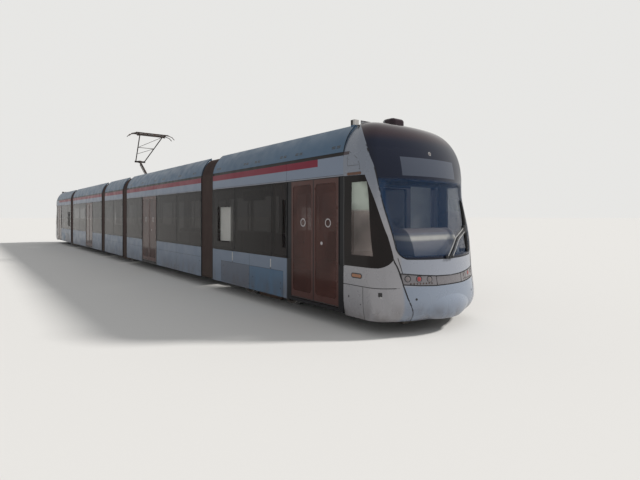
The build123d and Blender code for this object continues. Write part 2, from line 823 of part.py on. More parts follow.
with BuildPart() as front_partition:
    for wall_side in (-1, 1):
        block(14915, 14950, wall_side * 380, wall_side * WALL_IN, FLOOR_TOP, WALL_TOP)
        block(14915, 14950, wall_side * 500, wall_side * 1150, 1300, 2500, Mode.SUBTRACT)
    block(14915, 14950, -400, 400, 2450, WALL_TOP)

# The driver's desk with its rounded hood, the seat, the passengers' seats and the grab poles

with BuildPart() as front_interior:
    inner_slab(15380, 16200, 1300, 1090, 1180)
    inner_slab(15380, 15420, 1150, CAB_FLOOR, 1100)
    with BuildSketch(Plane.XZ.offset(-DESK_HOOD)) as hood:
        with BuildLine():
            Line((15440, 1175), (15450, 1540))
            ThreePointArc((15450, 1540), (15490, 1650), (15590, 1700))
            ThreePointArc((15590, 1700), (15770, 1690), (15880, 1560))
            ThreePointArc((15880, 1560), (15950, 1380), (15985, 1175))
            Line((15985, 1175), (15440, 1175))
        make_face()
    extrude(hood.sketch, amount=2 * DESK_HOOD)
    pin(15180, 0, CAB_FLOOR, 880, 60)
    block(14975, 15290, -240, 240, 870, 960)
    block(14958, 15040, -230, 230, 955, 1560)
    seats(CAB_SEATS, BOX_TOP)
    grab_poles([(10300, 490, FLOOR_TOP), (11830, 490, AISLE_TOP), (13420, 900, FLOOR_TOP)], WALL_TOP)

# Suspended module, front

with BuildPart() as mid_floor:
    low_floor(MID_REAR, MID_FRONT)
    tongue_upper(MID_FRONT, JOINT_OUT, 330)
    tongue_upper(MID_REAR, JOINT_IN, 270)
    jack_pad(2500)
    jack_pad(8700)

with BuildPart() as mid_walls:
    side_walls(
        MID_REAR,
        MID_FRONT,
        [(2170, 3960), (5700, 7340), (7460, 9130)],
        MID_DOOR,
        [
            (4011, 4017, 280, 2955),
            (5613, 5619, 280, 2955),
            (7397, 7403, 280, BAND_LO),
            (5616, MID_FRONT + 5, 813, 819),
            (MID_REAR - 5, 4014, 813, 819),
            (MID_REAR - 5, MID_FRONT + 5, 2624, 2630),
        ],
    )

with BuildPart() as mid_roof:
    roof_shell(MID_REAR, MID_FRONT)
    roof_boxes(MID_ROOF_BOXES)
    fairing_ribs((MID_REAR + 20, 3450, 4900, 6240, 7820, MID_FRONT - 32))

with BuildPart() as mid_doors:
    door_leaves(MID_DOOR)

with BuildPart() as mid_glazing:
    panes([(2076, 4006), (5622, 7390), (7410, 9224)])
    door_glass(MID_DOOR)

with BuildPart() as mid_interior:
    seats(MID_SEATS, FLOOR_TOP)
    grab_poles([(3960, 700, FLOOR_TOP), (5680, 700, FLOOR_TOP), (7400, 480, FLOOR_TOP)], WALL_TOP)

# Centre module

with BuildPart() as centre_floor:
    raised_aisle(0)
    for end_side in (-1, 1):
        tongue_lower(end_side * BOX_HALF, end_side * JOINT_IN, 250)
        block(end_side * (BOX_HALF - 5), end_side * CENTRE_X, -WALL_IN, WALL_IN, FLOOR_LO, FLOOR_TOP)

with BuildPart() as centre_raised_floor:
    wheel_boxes(0)

with BuildPart() as centre_walls:
    side_walls(
        -CENTRE_X,
        CENTRE_X,
        [(-1400, -80), (80, 1400)],
        None,
        [
            (-3, 3, 280, BAND_LO),
            (-CENTRE_X - 5, CENTRE_X + 5, 813, 819),
            (-CENTRE_X - 5, CENTRE_X + 5, 2624, 2630),
        ],
    )

with BuildPart() as centre_roof:
    roof_shell(-CENTRE_X, CENTRE_X)
    fairing_ribs((-1480, -6, 1468))

with BuildPart() as centre_glazing:
    panes([(-1494, -10), (10, 1494)])

with BuildPart() as centre_interior:
    seats(CENTRE_SEATS, BOX_TOP)
    grab_poles([(0, 490, AISLE_TOP)], WALL_TOP)

# Bogies and wheelsets

with BuildPart() as centre_bogie:
    bogie_frame()
with BuildPart() as front_bogie:
    with Locations((BOGIE_X, 0, 0)):
        add(centre_bogie.part)
with BuildPart() as front_wheelset_lead:
    wheelset(BOGIE_X + WHEELBASE / 2)
with BuildPart() as front_wheelset_trail:
    wheelset(BOGIE_X - WHEELBASE / 2)
with BuildPart() as centre_wheelset_lead:
    wheelset(WHEELBASE / 2)

# Bellows

with BuildPart() as bellows_front_outer:
    bellows_rings(MID_FRONT, CAB_REAR, 12)
with BuildPart() as bellows_front_inner:
    bellows_rings(CENTRE_X, MID_REAR, 10)

# Pantograph

BASE_X, BASE_Z = PANTO_BASE
KNEE_X, KNEE_Z = PANTO_KNEE
HEAD_X, HEAD_Z = PANTO_HEAD

with BuildPart() as pantograph_base:
    for foot_x in (-500, 1050):
        for foot_y in (-480, 480):
            pin(foot_x, foot_y, DRIP_TOP, 3230, 38)
            for shed in range(4):
                pin(foot_x, foot_y, DRIP_TOP + 30 + shed * 48, DRIP_TOP + 48 + shed * 48, 66)
    for foot_y in (-480, 480):
        block(-560, 1110, foot_y - 35, foot_y + 35, 3225, 3295)
    for foot_x in (-500, BASE_X, 1050):
        block(foot_x - 35, foot_x + 35, -480, 480, 3225, 3295)
    for cheek in (-215, 215):
        with BuildSketch(Plane.XZ.offset(-(cheek - 12))) as section:
            with BuildLine():
                Polyline(
                    (BASE_X - 150, 3230),
                    (BASE_X - 50, BASE_Z + 50),
                    (BASE_X + 50, BASE_Z + 50),
                    (BASE_X + 150, 3230),
                    close=True,
                )
            make_face()
        extrude(section.sketch, amount=-24)
    across(BASE_X, BASE_Z, -240, 240, 25)
    block(-500, BASE_X, 95, 165, 3225, 3275)
    rod((300, 130, 3330), (640, 130, 3330), 46)
    block(280, 340, 70, 190, 3270, 3390)
    block(600, 660, 70, 190, 3270, 3390)
    block(-530, -450, -300, 300, 3290, 3330)
    block(-510, -470, -160, 160, 3325, 3380)

# The coupling rod lies beside the lower arm, set off square to it
LOWER_LENGTH = ((KNEE_X - BASE_X) ** 2 + (KNEE_Z - BASE_Z) ** 2) ** 0.5
LOWER_DX = (KNEE_X - BASE_X) / LOWER_LENGTH
LOWER_DZ = (KNEE_Z - BASE_Z) / LOWER_LENGTH
COUPLING_OFF = 120.0
COUPLING_ENDS = []
for share in (0.1, 0.93):
    foot_x = BASE_X + (KNEE_X - BASE_X) * share
    foot_z = BASE_Z + (KNEE_Z - BASE_Z) * share
    COUPLING_ENDS.append(
        ((foot_x, 0, foot_z), (foot_x - COUPLING_OFF * LOWER_DZ, 0, foot_z + COUPLING_OFF * LOWER_DX))
    )

with BuildPart() as pantograph_lower_arm:
    across(BASE_X, BASE_Z, -190, 190, 55)
    rod((BASE_X, 0, BASE_Z), (KNEE_X, 0, KNEE_Z), 45)
    across(KNEE_X, KNEE_Z, -60, 60, 58)
    for root, tip in COUPLING_ENDS:
        rod(root, tip, 22)
    rod(COUPLING_ENDS[0][1], COUPLING_ENDS[1][1], 13)
    across(BASE_X, BASE_Z, -250, 250, 25 + FIT, Mode.SUBTRACT)
    across(KNEE_X, KNEE_Z, -250, 250, 25 + FIT, Mode.SUBTRACT)

with BuildPart() as pantograph_upper_arm:
    across(KNEE_X, KNEE_Z, -230, 230, 25)
    for arm_side in (-1, 1):
        across(KNEE_X, KNEE_Z, arm_side * 150 - 80, arm_side * 150 + 80, 40)
        rod((KNEE_X, arm_side * 190, KNEE_Z), (HEAD_X, arm_side * 480, HEAD_Z), 22)
    across(HEAD_X, HEAD_Z, -590, 590, 22)
    brace_x = KNEE_X + (HEAD_X - KNEE_X) * 0.55
    brace_z = KNEE_Z + (HEAD_Z - KNEE_Z) * 0.55
    root_x = KNEE_X + (HEAD_X - KNEE_X) * 0.3
    root_z = KNEE_Z + (HEAD_Z - KNEE_Z) * 0.3
    rod((root_x, -277, root_z), (brace_x, 350, brace_z), 9)
    rod((brace_x, -350, brace_z), (HEAD_X, 480, HEAD_Z), 9)
    across(brace_x, brace_z, -350, 350, 12)

with BuildPart() as pantograph_head:
    for arm_side in (-1, 1):
        across(HEAD_X, HEAD_Z, arm_side * 560 - 25, arm_side * 560 + 25, 40)
        carrier = arm_side * 560
        block(HEAD_X - 170, HEAD_X + 170, carrier - 15, carrier + 15, HEAD_Z + 20, STRIP_TOP - 35)
    across(HEAD_X, HEAD_Z, -600, 600, 22 + FIT, Mode.SUBTRACT)
    for strip_x in (HEAD_X - 170, HEAD_X + 170):
        block(strip_x - 24, strip_x + 24, -700, 700, STRIP_TOP - 50, STRIP_TOP - 20)
        block(strip_x - 18, strip_x + 18, -690, 690, STRIP_TOP - 25, STRIP_TOP)
        for arm_side in (-1, 1):
            rod((strip_x, arm_side * 690, STRIP_TOP - 34), (strip_x, arm_side * 850, STRIP_TOP - 80), 15)
            rod((strip_x, arm_side * 850, STRIP_TOP - 80), (strip_x, arm_side * 960, STRIP_TOP - 190), 15)

# Export

FRONT = {
    "front_floor": front_floor,
    "front_walls": front_walls,
    "front_roof": front_roof,
    "front_doors": front_doors,
    "front_nose": front_nose,
    "front_windscreen": front_windscreen,
    "front_glazing": front_glazing,
    "front_lamps": front_lamps,
    "front_raised_floor": front_raised_floor,
    "front_partition": front_partition,
    "front_interior": front_interior,
    "front_mid_floor": mid_floor,
    "front_mid_walls": mid_walls,
    "front_mid_roof": mid_roof,
    "front_mid_doors": mid_doors,
    "front_mid_glazing": mid_glazing,
    "front_mid_interior": mid_interior,
    "front_bogie": front_bogie,
    "front_lead_wheelset": front_wheelset_lead,
    "front_trail_wheelset": front_wheelset_trail,
    "front_outer_bellows": bellows_front_outer,
    "front_inner_bellows": bellows_front_inner,
    "centre_lead_wheelset": centre_wheelset_lead,
}
CENTRE = {
    "centre_floor": centre_floor,
    "centre_raised_floor": centre_raised_floor,
    "centre_walls": centre_walls,
    "centre_roof": centre_roof,
    "centre_glazing": centre_glazing,
    "centre_interior": centre_interior,
    "centre_bogie": centre_bogie,
    "pantograph_base": pantograph_base,
    "pantograph_lower_arm": pantograph_lower_arm,
    "pantograph_upper_arm": pantograph_upper_arm,
    "pantograph_head": pantograph_head,
}

for name, builder in CENTRE.items():
    builder.part.label = name
    export_step(builder.part, "parts/" + name + ".step")

for name, builder in FRONT.items():
    builder.part.label = name
    export_step(builder.part, "parts/" + name + ".step")
    if name == "centre_lead_wheelset":
        twin_name = "centre_trail_wheelset"
    else:
        twin_name = name.replace("front_", "rear_")
    twin = builder.part.rotate(Axis.Z, 180)
    twin.label = twin_name
    export_step(twin, "parts/" + twin_name + ".step")
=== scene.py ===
"""Looks of the five-section low-floor tram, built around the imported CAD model. Metres."""

import bmesh
import bpy
import numpy as np
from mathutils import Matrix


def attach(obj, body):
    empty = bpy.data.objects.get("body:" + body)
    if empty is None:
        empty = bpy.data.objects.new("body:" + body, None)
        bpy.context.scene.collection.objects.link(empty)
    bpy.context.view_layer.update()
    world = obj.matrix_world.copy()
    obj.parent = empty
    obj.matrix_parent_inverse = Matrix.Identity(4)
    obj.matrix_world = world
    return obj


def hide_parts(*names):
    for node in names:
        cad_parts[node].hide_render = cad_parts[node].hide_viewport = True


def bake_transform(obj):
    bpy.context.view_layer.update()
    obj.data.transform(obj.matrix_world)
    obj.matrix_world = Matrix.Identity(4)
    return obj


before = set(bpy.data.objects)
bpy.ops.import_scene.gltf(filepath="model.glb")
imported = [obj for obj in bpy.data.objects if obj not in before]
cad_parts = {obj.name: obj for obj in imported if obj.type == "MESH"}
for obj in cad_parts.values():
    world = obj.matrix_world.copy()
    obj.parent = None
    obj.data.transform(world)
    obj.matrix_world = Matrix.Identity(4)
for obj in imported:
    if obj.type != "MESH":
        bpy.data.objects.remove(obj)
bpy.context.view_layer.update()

# The rear half is the front half turned half round about the middle of the tram
TURN = {"front": 1.0, "rear": -1.0}

# Modules that carry the pieces of each kind, at the front and at the rear
BODIES = {"cab": "{}_module", "mid": "{}_mid_module", "centre": "centre_module"}

# Places repeated from the CAD source, in metres
HALF_WIDTH = 1.325
WIDEST = 1.3298
STRIPE = (2.816, 2.95)
STRIPE_END = 14.32
BROW_FOOT = 3.195
CAB_START = 15.02
MID = (2.07, 9.23)
CAB_REAR = 9.92
CENTRE_END = 1.5
BOGIE_X = 11.83
AXLE_REACH = 0.9
AXLE_HEIGHT = 0.351
CAB_DOOR = (13.47, 14.9)
MID_DOOR = (4.09, 5.54)
SIGN_HALF = 0.72
SIGN_HEIGHTS = (2.593, 2.91)
POST_HEAD = 2.604

# Nose skin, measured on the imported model: height, half width, corner radius, front radius, tip
NOSE = np.array([
    (0.246, 1.2752, 0.350, 2.100, 16.1406),
    (0.300, 1.2917, 0.350, 2.110, 16.1872),
    (0.360, 1.3047, 0.350, 2.120, 16.2335),
    (0.440, 1.3156, 0.350, 2.135, 16.2588),
    (0.526, 1.3220, 0.350, 2.150, 16.2647),
    (0.620, 1.3247, 0.345, 2.150, 16.2586),
    (0.700, 1.3252, 0.340, 2.150, 16.2483),
    (0.780, 1.3249, 0.336, 2.150, 16.2359),
    (0.886, 1.3240, 0.330, 2.150, 16.2171),
    (1.050, 1.3233, 0.325, 2.174, 16.1983),
    (1.226, 1.3241, 0.320, 2.200, 16.1799),
    (1.350, 1.3253, 0.317, 2.224, 16.1664),
    (1.450, 1.3264, 0.314, 2.243, 16.1533),
    (1.550, 1.3273, 0.312, 2.262, 16.1368),
    (1.650, 1.3277, 0.309, 2.282, 16.1164),
    (1.750, 1.3276, 0.307, 2.301, 16.0926),
    (1.850, 1.3268, 0.304, 2.320, 16.0656),
    (1.950, 1.3253, 0.302, 2.339, 16.0369),
    (2.026, 1.3240, 0.300, 2.354, 16.0148),
    (2.100, 1.3226, 0.300, 2.368, 15.9940),
    (2.200, 1.3207, 0.300, 2.405, 15.9673),
    (2.300, 1.3195, 0.300, 2.465, 15.9435),
    (2.400, 1.3190, 0.300, 2.568, 15.9225),
    (2.500, 1.3201, 0.300, 2.690, 15.9058),
    (2.626, 1.3240, 0.300, 2.900, 15.8849),
    (2.700, 1.3273, 0.300, 3.000, 15.8715),
    (2.800, 1.3297, 0.300, 3.135, 15.8491),
    (2.900, 1.3255, 0.300, 3.270, 15.8217),
    (2.996, 1.3120, 0.300, 3.400, 15.7898),
    (3.080, 1.2907, 0.300, 3.400, 15.7597),
    (3.180, 1.2520, 0.300, 3.400, 15.7149),
    (3.276, 1.1998, 0.300, 3.400, 15.6599),
    (3.380, 1.1218, 0.300, 3.296, 15.5807),
    (3.476, 1.0200, 0.300, 3.200, 15.4699),
    (3.586, 0.8000, 0.300, 3.000, 15.2000),
    (3.646, 0.5600, 0.250, 2.500, 14.9500),
])


class Nodes:
    """A node tree, with short ways to add to it."""

    def __init__(self, tree):
        self.tree = tree

    def fill(self, socket, value):
        """Links a socket to another, or gives it a plain value."""
        if isinstance(value, bpy.types.NodeSocket):
            self.tree.links.new(value, socket)
        else:
            socket.default_value = (*value, 1.0) if isinstance(value, tuple) else value

    def add(self, kind, values=(), **settings):
        """A node with its settings and its inputs filled in turn."""
        made = self.tree.nodes.new(kind)
        for name, value in settings.items():
            setattr(made, name, value)
        for socket, value in zip(made.inputs, values):
            self.fill(socket, value)
        return made

    def math(self, operation, first, second=0.0):
        """One sum of two values."""
        return self.add("ShaderNodeMath", (first, second), operation=operation).outputs[0]


class Finish(Nodes):
    """A node material whose patterns all read Object coordinates: how far along from the middle,
    how far out from the centre line, and the height z."""

    def __init__(self, name, colour, roughness, metallic=0.0, **sockets):
        self.material = bpy.data.materials.new(name)
        self.material.use_nodes = True
        super().__init__(self.material.node_tree)
        self.shader = self.tree.nodes["Principled BSDF"]
        sockets.update(Base_Color=(*colour, 1.0), Roughness=roughness, Metallic=metallic)
        for socket, value in sockets.items():
            self.shader.inputs[socket.replace("_", " ")].default_value = value
        self.place = self.add("ShaderNodeTexCoord").outputs["Object"]
        x, y, self.z = self.add("ShaderNodeSeparateXYZ", (self.place,)).outputs
        self.along = self.math("ABSOLUTE", x)
        self.outer = self.math("ABSOLUTE", y)
        self.base = colour

    def feed(self, name, value):
        """Fills a socket of the shader."""
        self.fill(self.shader.inputs[name], value)

    def rise(self, value, low, high, bottom=0.0, top=1.0):
        """Goes from bottom to top while the value goes from low to high."""
        values = (value, low, high, bottom, top)
        return self.add("ShaderNodeMapRange", values, interpolation_type="SMOOTHSTEP").outputs[0]

    def between(self, value, low, high, soft=None):
        """One between low and high, nothing outside, with a soft edge. None is no limit."""
        if low is None:
            return self.rise(value, high - (soft or 0.001), high + (soft or 0.001), 1.0, 0.0)
        if high is None:
            return self.rise(value, low - (soft or 0.001), low + (soft or 0.001))
        soft = soft or 0.0015
        return self.all_of(self.between(value, low, None, soft), self.between(value, None, high, soft))

    def all_of(self, *masks, operation="MULTIPLY"):
        """One where every mask is one. A plain number among the masks thins the rest."""
        whole = masks[0]
        for mask in masks[1:]:
            whole = self.math(operation, whole, mask)
        return whole

    def any_of(self, *masks):
        """One where any mask is one."""
        return self.all_of(*masks, operation="MAXIMUM")

    def zone(self, **limits):
        """One where each place is between its limits: (low, high) or (low, high, soft edge)."""
        return self.all_of(*[self.between(getattr(self, place), *ends) for place, ends in limits.items()])

    def clouds(self, scale, detail, low, high, strength=1.0, stretch=(1.0, 1.0, 1.0)):
        """Soft spots up to the strength, where noise passes from low to high."""
        return self.rise(self.noise(scale, detail, stretch), low, high, 0.0, strength)

    def noise(self, scale, detail, stretch=(1.0, 1.0, 1.0)):
        """Cloudy variation from nothing to one."""
        mapping = self.add("ShaderNodeMapping", (self.place,))
        mapping.inputs["Scale"].default_value = stretch
        return self.add("ShaderNodeTexNoise", (mapping.outputs[0], 0.0, scale, detail)).outputs[0]

    def mix(self, mask, under, over, kind="RGBA"):
        """The over colour where the mask is one, the under colour elsewhere; FLOAT for values."""
        first, out = {"RGBA": (6, 2), "FLOAT": (2, 0)}[kind]
        node = self.add("ShaderNodeMix", (mask,), data_type=kind)
        self.fill(node.inputs[first], under)
        self.fill(node.inputs[first + 1], over)
        return node.outputs[out]

    def paint(self, colour, *masks, **limits):
        """Lays a colour over what is painted so far, where every mask and the zone is one."""
        if limits:
            masks += (self.zone(**limits),)
        self.base = self.mix(self.all_of(*masks), self.base, colour)
        self.feed("Base Color", self.base)

    def mottle(self, scale, colour, strength, stretch=(1.0, 1.0, 1.0)):
        """A faint cloudy change of colour."""
        self.paint(colour, self.clouds(scale, 4.0, 0.35, 0.75, strength, stretch))

    def roughen(self, scale, low, high):
        """Roughness that drifts between two values."""
        self.rough = self.rise(self.noise(scale, 4.0), 0.3, 0.7, low, high)
        self.feed("Roughness", self.rough)

    def gloss(self, mask, roughness):
        """A roughness of its own where the mask is one."""
        self.feed("Roughness", self.mix(mask, self.rough, roughness, "FLOAT"))

    def relief(self, scale, strength, detail=2.0, distance=0.0002):
        """Small cloudy bumps."""
        node = self.add("ShaderNodeBump", (strength, distance))
        self.fill(node.inputs["Height"], self.noise(scale, detail))
        self.feed("Normal", node.outputs[0])

    def dirty(self, low, high, strength, scale):
        """Road dirt in clouds, thick at the low height and gone at the high one."""
        fading = self.rise(self.z, low, high, strength, 0.0)
        self.paint(GRIME, fading, self.clouds(scale, 6.0, 0.3, 0.72, 1.0, (1.0, 1.0, 0.4)))


GRIME = (0.085, 0.068, 0.06)
CRIMSON = (0.15, 0.006, 0.024)
BLACK = (0.006, 0.006, 0.008)
BROW = (0.022, 0.011, 0.017)
NAVY = (0.004, 0.007, 0.02)
# Hatch colours: painted blue sky reflections over the silver, one to each hatch
HATCH_SKY_REFLECTIONS = ((10.421, BOGIE_X, (0.085, 0.098, 0.128)), (BOGIE_X, 13.191, (0.052, 0.112, 0.19)))


def body_paint():
    """Silver side walls, bluer above the windows and with a painted blue sky reflection below them,
    with the stripe up to the cab doors, a painted sky reflection of its own on each hatch, black
    posts and set-back parts, a pale lining inside, and road dirt that thins upwards."""
    skin = Finish("body_paint", (0.205, 0.215, 0.25), 0.38, 0.12, Specular_IOR_Level=0.25)
    skin.mottle(0.9, (0.165, 0.185, 0.235), 0.6, (0.5, 1.0, 1.6))
    # Painted sky reflection: the walls bluer below the windows
    skin.paint((0.105, 0.158, 0.235), 0.6, z=(None, 1.083))
    # Painted sky reflections: each hatch a blue of its own
    for x0, x1, reflection in HATCH_SKY_REFLECTIONS:
        skin.paint(reflection, 0.8, z=(None, 0.813), along=(x0, x1))
    skin.paint((0.17, 0.205, 0.27), z=(2.627, None))
    skin.dirty(0.28, 0.85, 0.5, 5.0)
    skin.paint(CRIMSON, z=STRIPE, along=(None, STRIPE_END))
    skin.paint(BLACK, outer=(None, HALF_WIDTH - 0.0015, 0.0005))
    posts = skin.any_of(skin.zone(along=(13.335, None)), skin.zone(along=(4.02, 5.61)))
    skin.paint(BLACK, posts, z=(None, POST_HEAD))
    skin.paint((0.3, 0.3, 0.31), outer=(None, 1.267))
    skin.roughen(3.0, 0.28, 0.44)
    skin.relief(700.0, 0.15)
    return skin


def nose_paint():
    """The walls' silver painted paler and warmer as if in sunlight, darker and bluer towards the top,
    and with a painted blue sky reflection in the middle of the front, strongest on the bumper. A dark
    gutter ends over the cab window, and a black strip is by the door."""
    # Base colour: the walls' silver painted paler and warmer, as if in sunlight
    skin = Finish("nose_paint", (0.262, 0.258, 0.276), 0.32, 0.1, Coat_Weight=0.2, Coat_Roughness=0.08)
    skin.mottle(1.3, (0.225, 0.228, 0.252), 0.6)
    skin.paint((0.105, 0.135, 0.185), skin.rise(skin.z, 1.5, 2.8, 0.0, 0.7))
    # Painted sky reflection: bluer in the middle of the front, most of all on the bumper
    middle = skin.zone(outer=(None, 0.95, 0.03), along=(15.9, None))
    skin.paint((0.225, 0.262, 0.335), middle, 0.55)
    skin.paint((0.15, 0.205, 0.29), middle, 0.45, z=(None, 0.8))
    skin.dirty(0.22, 0.62, 0.55, 7.0)
    skin.paint(BROW, z=(2.955, 3.012), along=(None, 15.161))
    skin.paint(BLACK, z=(1.081, POST_HEAD), along=(None, 15.046))
    skin.roughen(3.5, 0.22, 0.36)
    skin.relief(600.0, 0.12)
    return skin


def roof_paint():
    """Grey fairings under a painted blue sky reflection, a paler, dusty deck with its cases, the dark
    gutter, and the glossy brow over each windscreen, navy at its foot. The boxes on its shoulders are
    pale in front."""
    # Base colour: grey with a painted blue sky reflection, left on the fairings
    skin = Finish("roof_paint", (0.062, 0.112, 0.178), 0.45, 0.1, Specular_IOR_Level=0.25)
    skin.mottle(1.1, (0.048, 0.088, 0.142), 0.7, (0.4, 1.0, 1.0))
    skin.paint((0.235, 0.245, 0.26), outer=(None, 0.975, 0.01))
    skin.paint((0.12, 0.11, 0.1), skin.clouds(3.0, 5.0, 0.35, 0.8, 0.6), outer=(None, 1.2), z=(None, 3.05))
    skin.paint((0.13, 0.13, 0.135), skin.clouds(3.0, 5.0, 0.35, 0.8, 0.7), outer=(None, 0.82), z=(3.33, None))
    skin.paint((0.006, 0.004, 0.004), z=(None, 3.013))
    cab = skin.zone(along=(CAB_START + 0.001, None))
    dome = skin.any_of(cab, skin.zone(outer=(None, 0.95), along=(14.899, None), z=(3.585, None)))
    skin.paint(BROW, dome)
    skin.paint(NAVY, cab, z=(None, BROW_FOOT + 0.06, 0.1))
    box = skin.zone(outer=(0.935, None), along=(14.897, None), z=(3.512, None))
    skin.paint((0.02, 0.016, 0.016), box)
    skin.paint((0.42, 0.41, 0.4), box, along=(14.955, None))
    skin.roughen(4.0, 0.3, 0.46)
    skin.gloss(dome, 0.12)
    skin.relief(500.0, 0.12, distance=0.0003)
    return skin


def windscreen_glass():
    """Deep blue screen, solid at its foot and head, denser at its sides and paler at the sign."""
    glass = Finish("windscreen_glass", (0.02, 0.048, 0.11), 0.05, Specular_IOR_Level=0.25)
    solid = glass.any_of(glass.rise(glass.z, 1.255, 1.29, 1.0, 0.0), glass.rise(glass.z, 2.48, 2.56))
    glass.paint(NAVY, solid)
    glass.paint((0.052, 0.062, 0.088), outer=(None, SIGN_HALF), z=SIGN_HEIGHTS)
    dense = glass.rise(glass.zone(outer=(1.02, None, 0.03)), 0.0, 1.0, 0.24, 0.5)
    glass.feed("Alpha", glass.mix(solid, dense, 0.995, "FLOAT"))
    glass.roughen(2.0, 0.03, 0.07)
    return glass


def tinted_glass():
    """Dark side glass, redder and denser in the doors and nearly clear before the pale boards.
    Beside the cab it is solid black round one clear pane, whose front edge leans back as
    x = 15.864 - 0.134 z; on the pane the light that shows through is painted, pale green above and
    warm below, with darker clouds."""
    glass = Finish("tinted_glass", (0.007, 0.005, 0.005), 0.05, Specular_IOR_Level=0.18)
    slope = glass.math("ADD", glass.along, glass.math("MULTIPLY", glass.z, 0.134))
    pane = glass.all_of(glass.zone(along=(15.225, None, 0.004)), glass.between(slope, None, 15.864, 0.003),
                        glass.zone(z=(1.29, 2.48, 0.006)))
    # Painted light through the cab side pane: pale green above, warm below
    glass.paint(glass.mix(glass.zone(z=(2.02, None, 0.03)), (0.37, 0.31, 0.29), (0.52, 0.58, 0.52)), pane)
    # Darker clouds in the painted view through the pane
    glass.paint((0.06, 0.055, 0.055), pane, glass.clouds(1.5, 3.0, 0.4, 0.62, 0.6))
    doorway = glass.any_of(glass.zone(along=CAB_DOOR), glass.zone(along=MID_DOOR))
    glass.mottle(1.2, (0.018, 0.012, 0.011), 0.6, (0.6, 1.0, 1.0))
    glass.paint((0.046, 0.017, 0.014), doorway)
    glass.paint((0.085, 0.034, 0.028), doorway, glass.clouds(1.6, 3.0, 0.35, 0.65, 0.7))
    boards = glass.any_of(glass.zone(along=(10.215, 10.92, 0.01), z=(1.285, 2.16, 0.01)),
                          glass.zone(along=(13.165, 13.315, 0.006), z=(1.3, 2.25, 0.01)))
    saloon = glass.mix(boards, glass.mix(doorway, 0.66, 0.8, "FLOAT"), 0.12, "FLOAT")
    beside_cab = glass.mix(pane, 0.99, 0.55, "FLOAT")
    glass.feed("Alpha", glass.mix(glass.zone(along=(15.03, None)), saloon, beside_cab, "FLOAT"))
    glass.roughen(2.0, 0.03, 0.08)
    return glass


def door_paint():
    """Anthracite door leaves with a reddish brown cast and faint satin wear."""
    skin = Finish("door_paint", (0.056, 0.018, 0.014), 0.36, 0.1, Specular_IOR_Level=0.35)
    skin.mottle(2.2, (0.07, 0.03, 0.026), 0.6, (1.0, 1.0, 0.3))
    skin.roughen(6.0, 0.26, 0.42)
    skin.relief(400.0, 0.2)
    return skin


def worn_metal(name, colour, dust, roughness, metallic, scale):
    """Painted or bare metal with dust that has settled in clouds."""
    skin = Finish(name, colour, roughness, metallic)
    skin.paint(dust, skin.clouds(scale, 6.0, 0.4, 0.72, 0.75))
    skin.roughen(scale * 1.7, roughness - 0.08, roughness + 0.12)
    skin.relief(scale * 22.0, 0.35, 4.0, 0.0008)
    return skin


def bogie_paint():
    """Dark frame with pale dust, and brown rust on the track brakes near the floor."""
    skin = worn_metal("bogie_paint", (0.032, 0.03, 0.03), (0.085, 0.065, 0.05), 0.6, 0.2, 5.0)
    skin.paint((0.11, 0.055, 0.03), skin.clouds(9.0, 5.0, 0.3, 0.6), z=(None, 0.13))
    return skin


def wheel_steel():
    """Bright tread and flange, over 0.315 from the nearest axle line, and a dull wheel face."""
    skin = worn_metal("wheel_steel", (0.1, 0.085, 0.075), (0.06, 0.045, 0.035), 0.5, 0.6, 7.0)
    from_bogie = skin.math("ABSOLUTE", skin.math("SUBTRACT", skin.along, BOGIE_X))
    reach = skin.mix(skin.zone(along=(5.0, None)), skin.along, from_bogie, "FLOAT")
    legs = [skin.math("SUBTRACT", reach, AXLE_REACH), skin.math("SUBTRACT", skin.z, AXLE_HEIGHT)]
    squares = [skin.math("MULTIPLY", leg, leg) for leg in legs]
    tread = skin.between(skin.math("SQRT", skin.math("ADD", *squares)), 0.315, None, 0.004)
    skin.paint((0.46, 0.45, 0.44), tread)
    skin.gloss(tread, 0.22)
    return skin


def frame_paint():
    """Dark roof frame of the pantograph on brown glazed insulators."""
    skin = worn_metal("roof_frame_paint", (0.075, 0.068, 0.068), (0.13, 0.11, 0.1), 0.5, 0.3, 6.0)
    glaze = skin.zone(z=(None, 3.222))
    skin.paint((0.085, 0.028, 0.016), glaze)
    skin.gloss(glaze, 0.12)
    return skin


def lining_paint():
    """Pale panels, woven seat covers, and in the cab a dark desk whose silver hood has a painted
    highlight along its ridge and a brown top."""
    skin = Finish("lining_paint", (0.3, 0.3, 0.32), 0.5)
    weave = skin.mix(skin.clouds(260.0, 2.0, 0.42, 0.58), (0.03, 0.034, 0.05), (0.075, 0.022, 0.03))
    skin.paint(weave, outer=(0.545, None), along=(None, 14.7), z=(None, 2.05))
    skin.paint((0.02, 0.024, 0.036), along=(14.94, None))
    hood = skin.zone(along=(15.43, None), outer=(None, 0.625), z=(1.182, None))
    skin.paint(skin.mix(skin.rise(skin.z, 1.22, 1.48), (0.11, 0.13, 0.17), (0.3, 0.3, 0.32)), hood)
    # Painted highlight: a bright band along the hood's ridge
    skin.paint((0.92, 0.9, 0.82), hood, z=(1.515, 1.59, 0.028))
    skin.paint((0.26, 0.235, 0.23), hood, z=(1.64, None, 0.01))
    skin.mottle(8.0, (0.16, 0.165, 0.18), 0.2)
    skin.roughen(8.0, 0.38, 0.58)
    skin.relief(240.0, 0.3, 3.0, 0.0006)
    return skin


def floor_paint():
    """Speckled grey vinyl on the raised floor and the boxes over the wheels."""
    skin = Finish("floor_vinyl", (0.08, 0.085, 0.095), 0.6)
    skin.paint((0.2, 0.2, 0.21), skin.clouds(420.0, 1.0, 0.6, 0.66))
    skin.mottle(4.0, (0.055, 0.058, 0.066), 0.6)
    skin.roughen(10.0, 0.5, 0.7)
    return skin


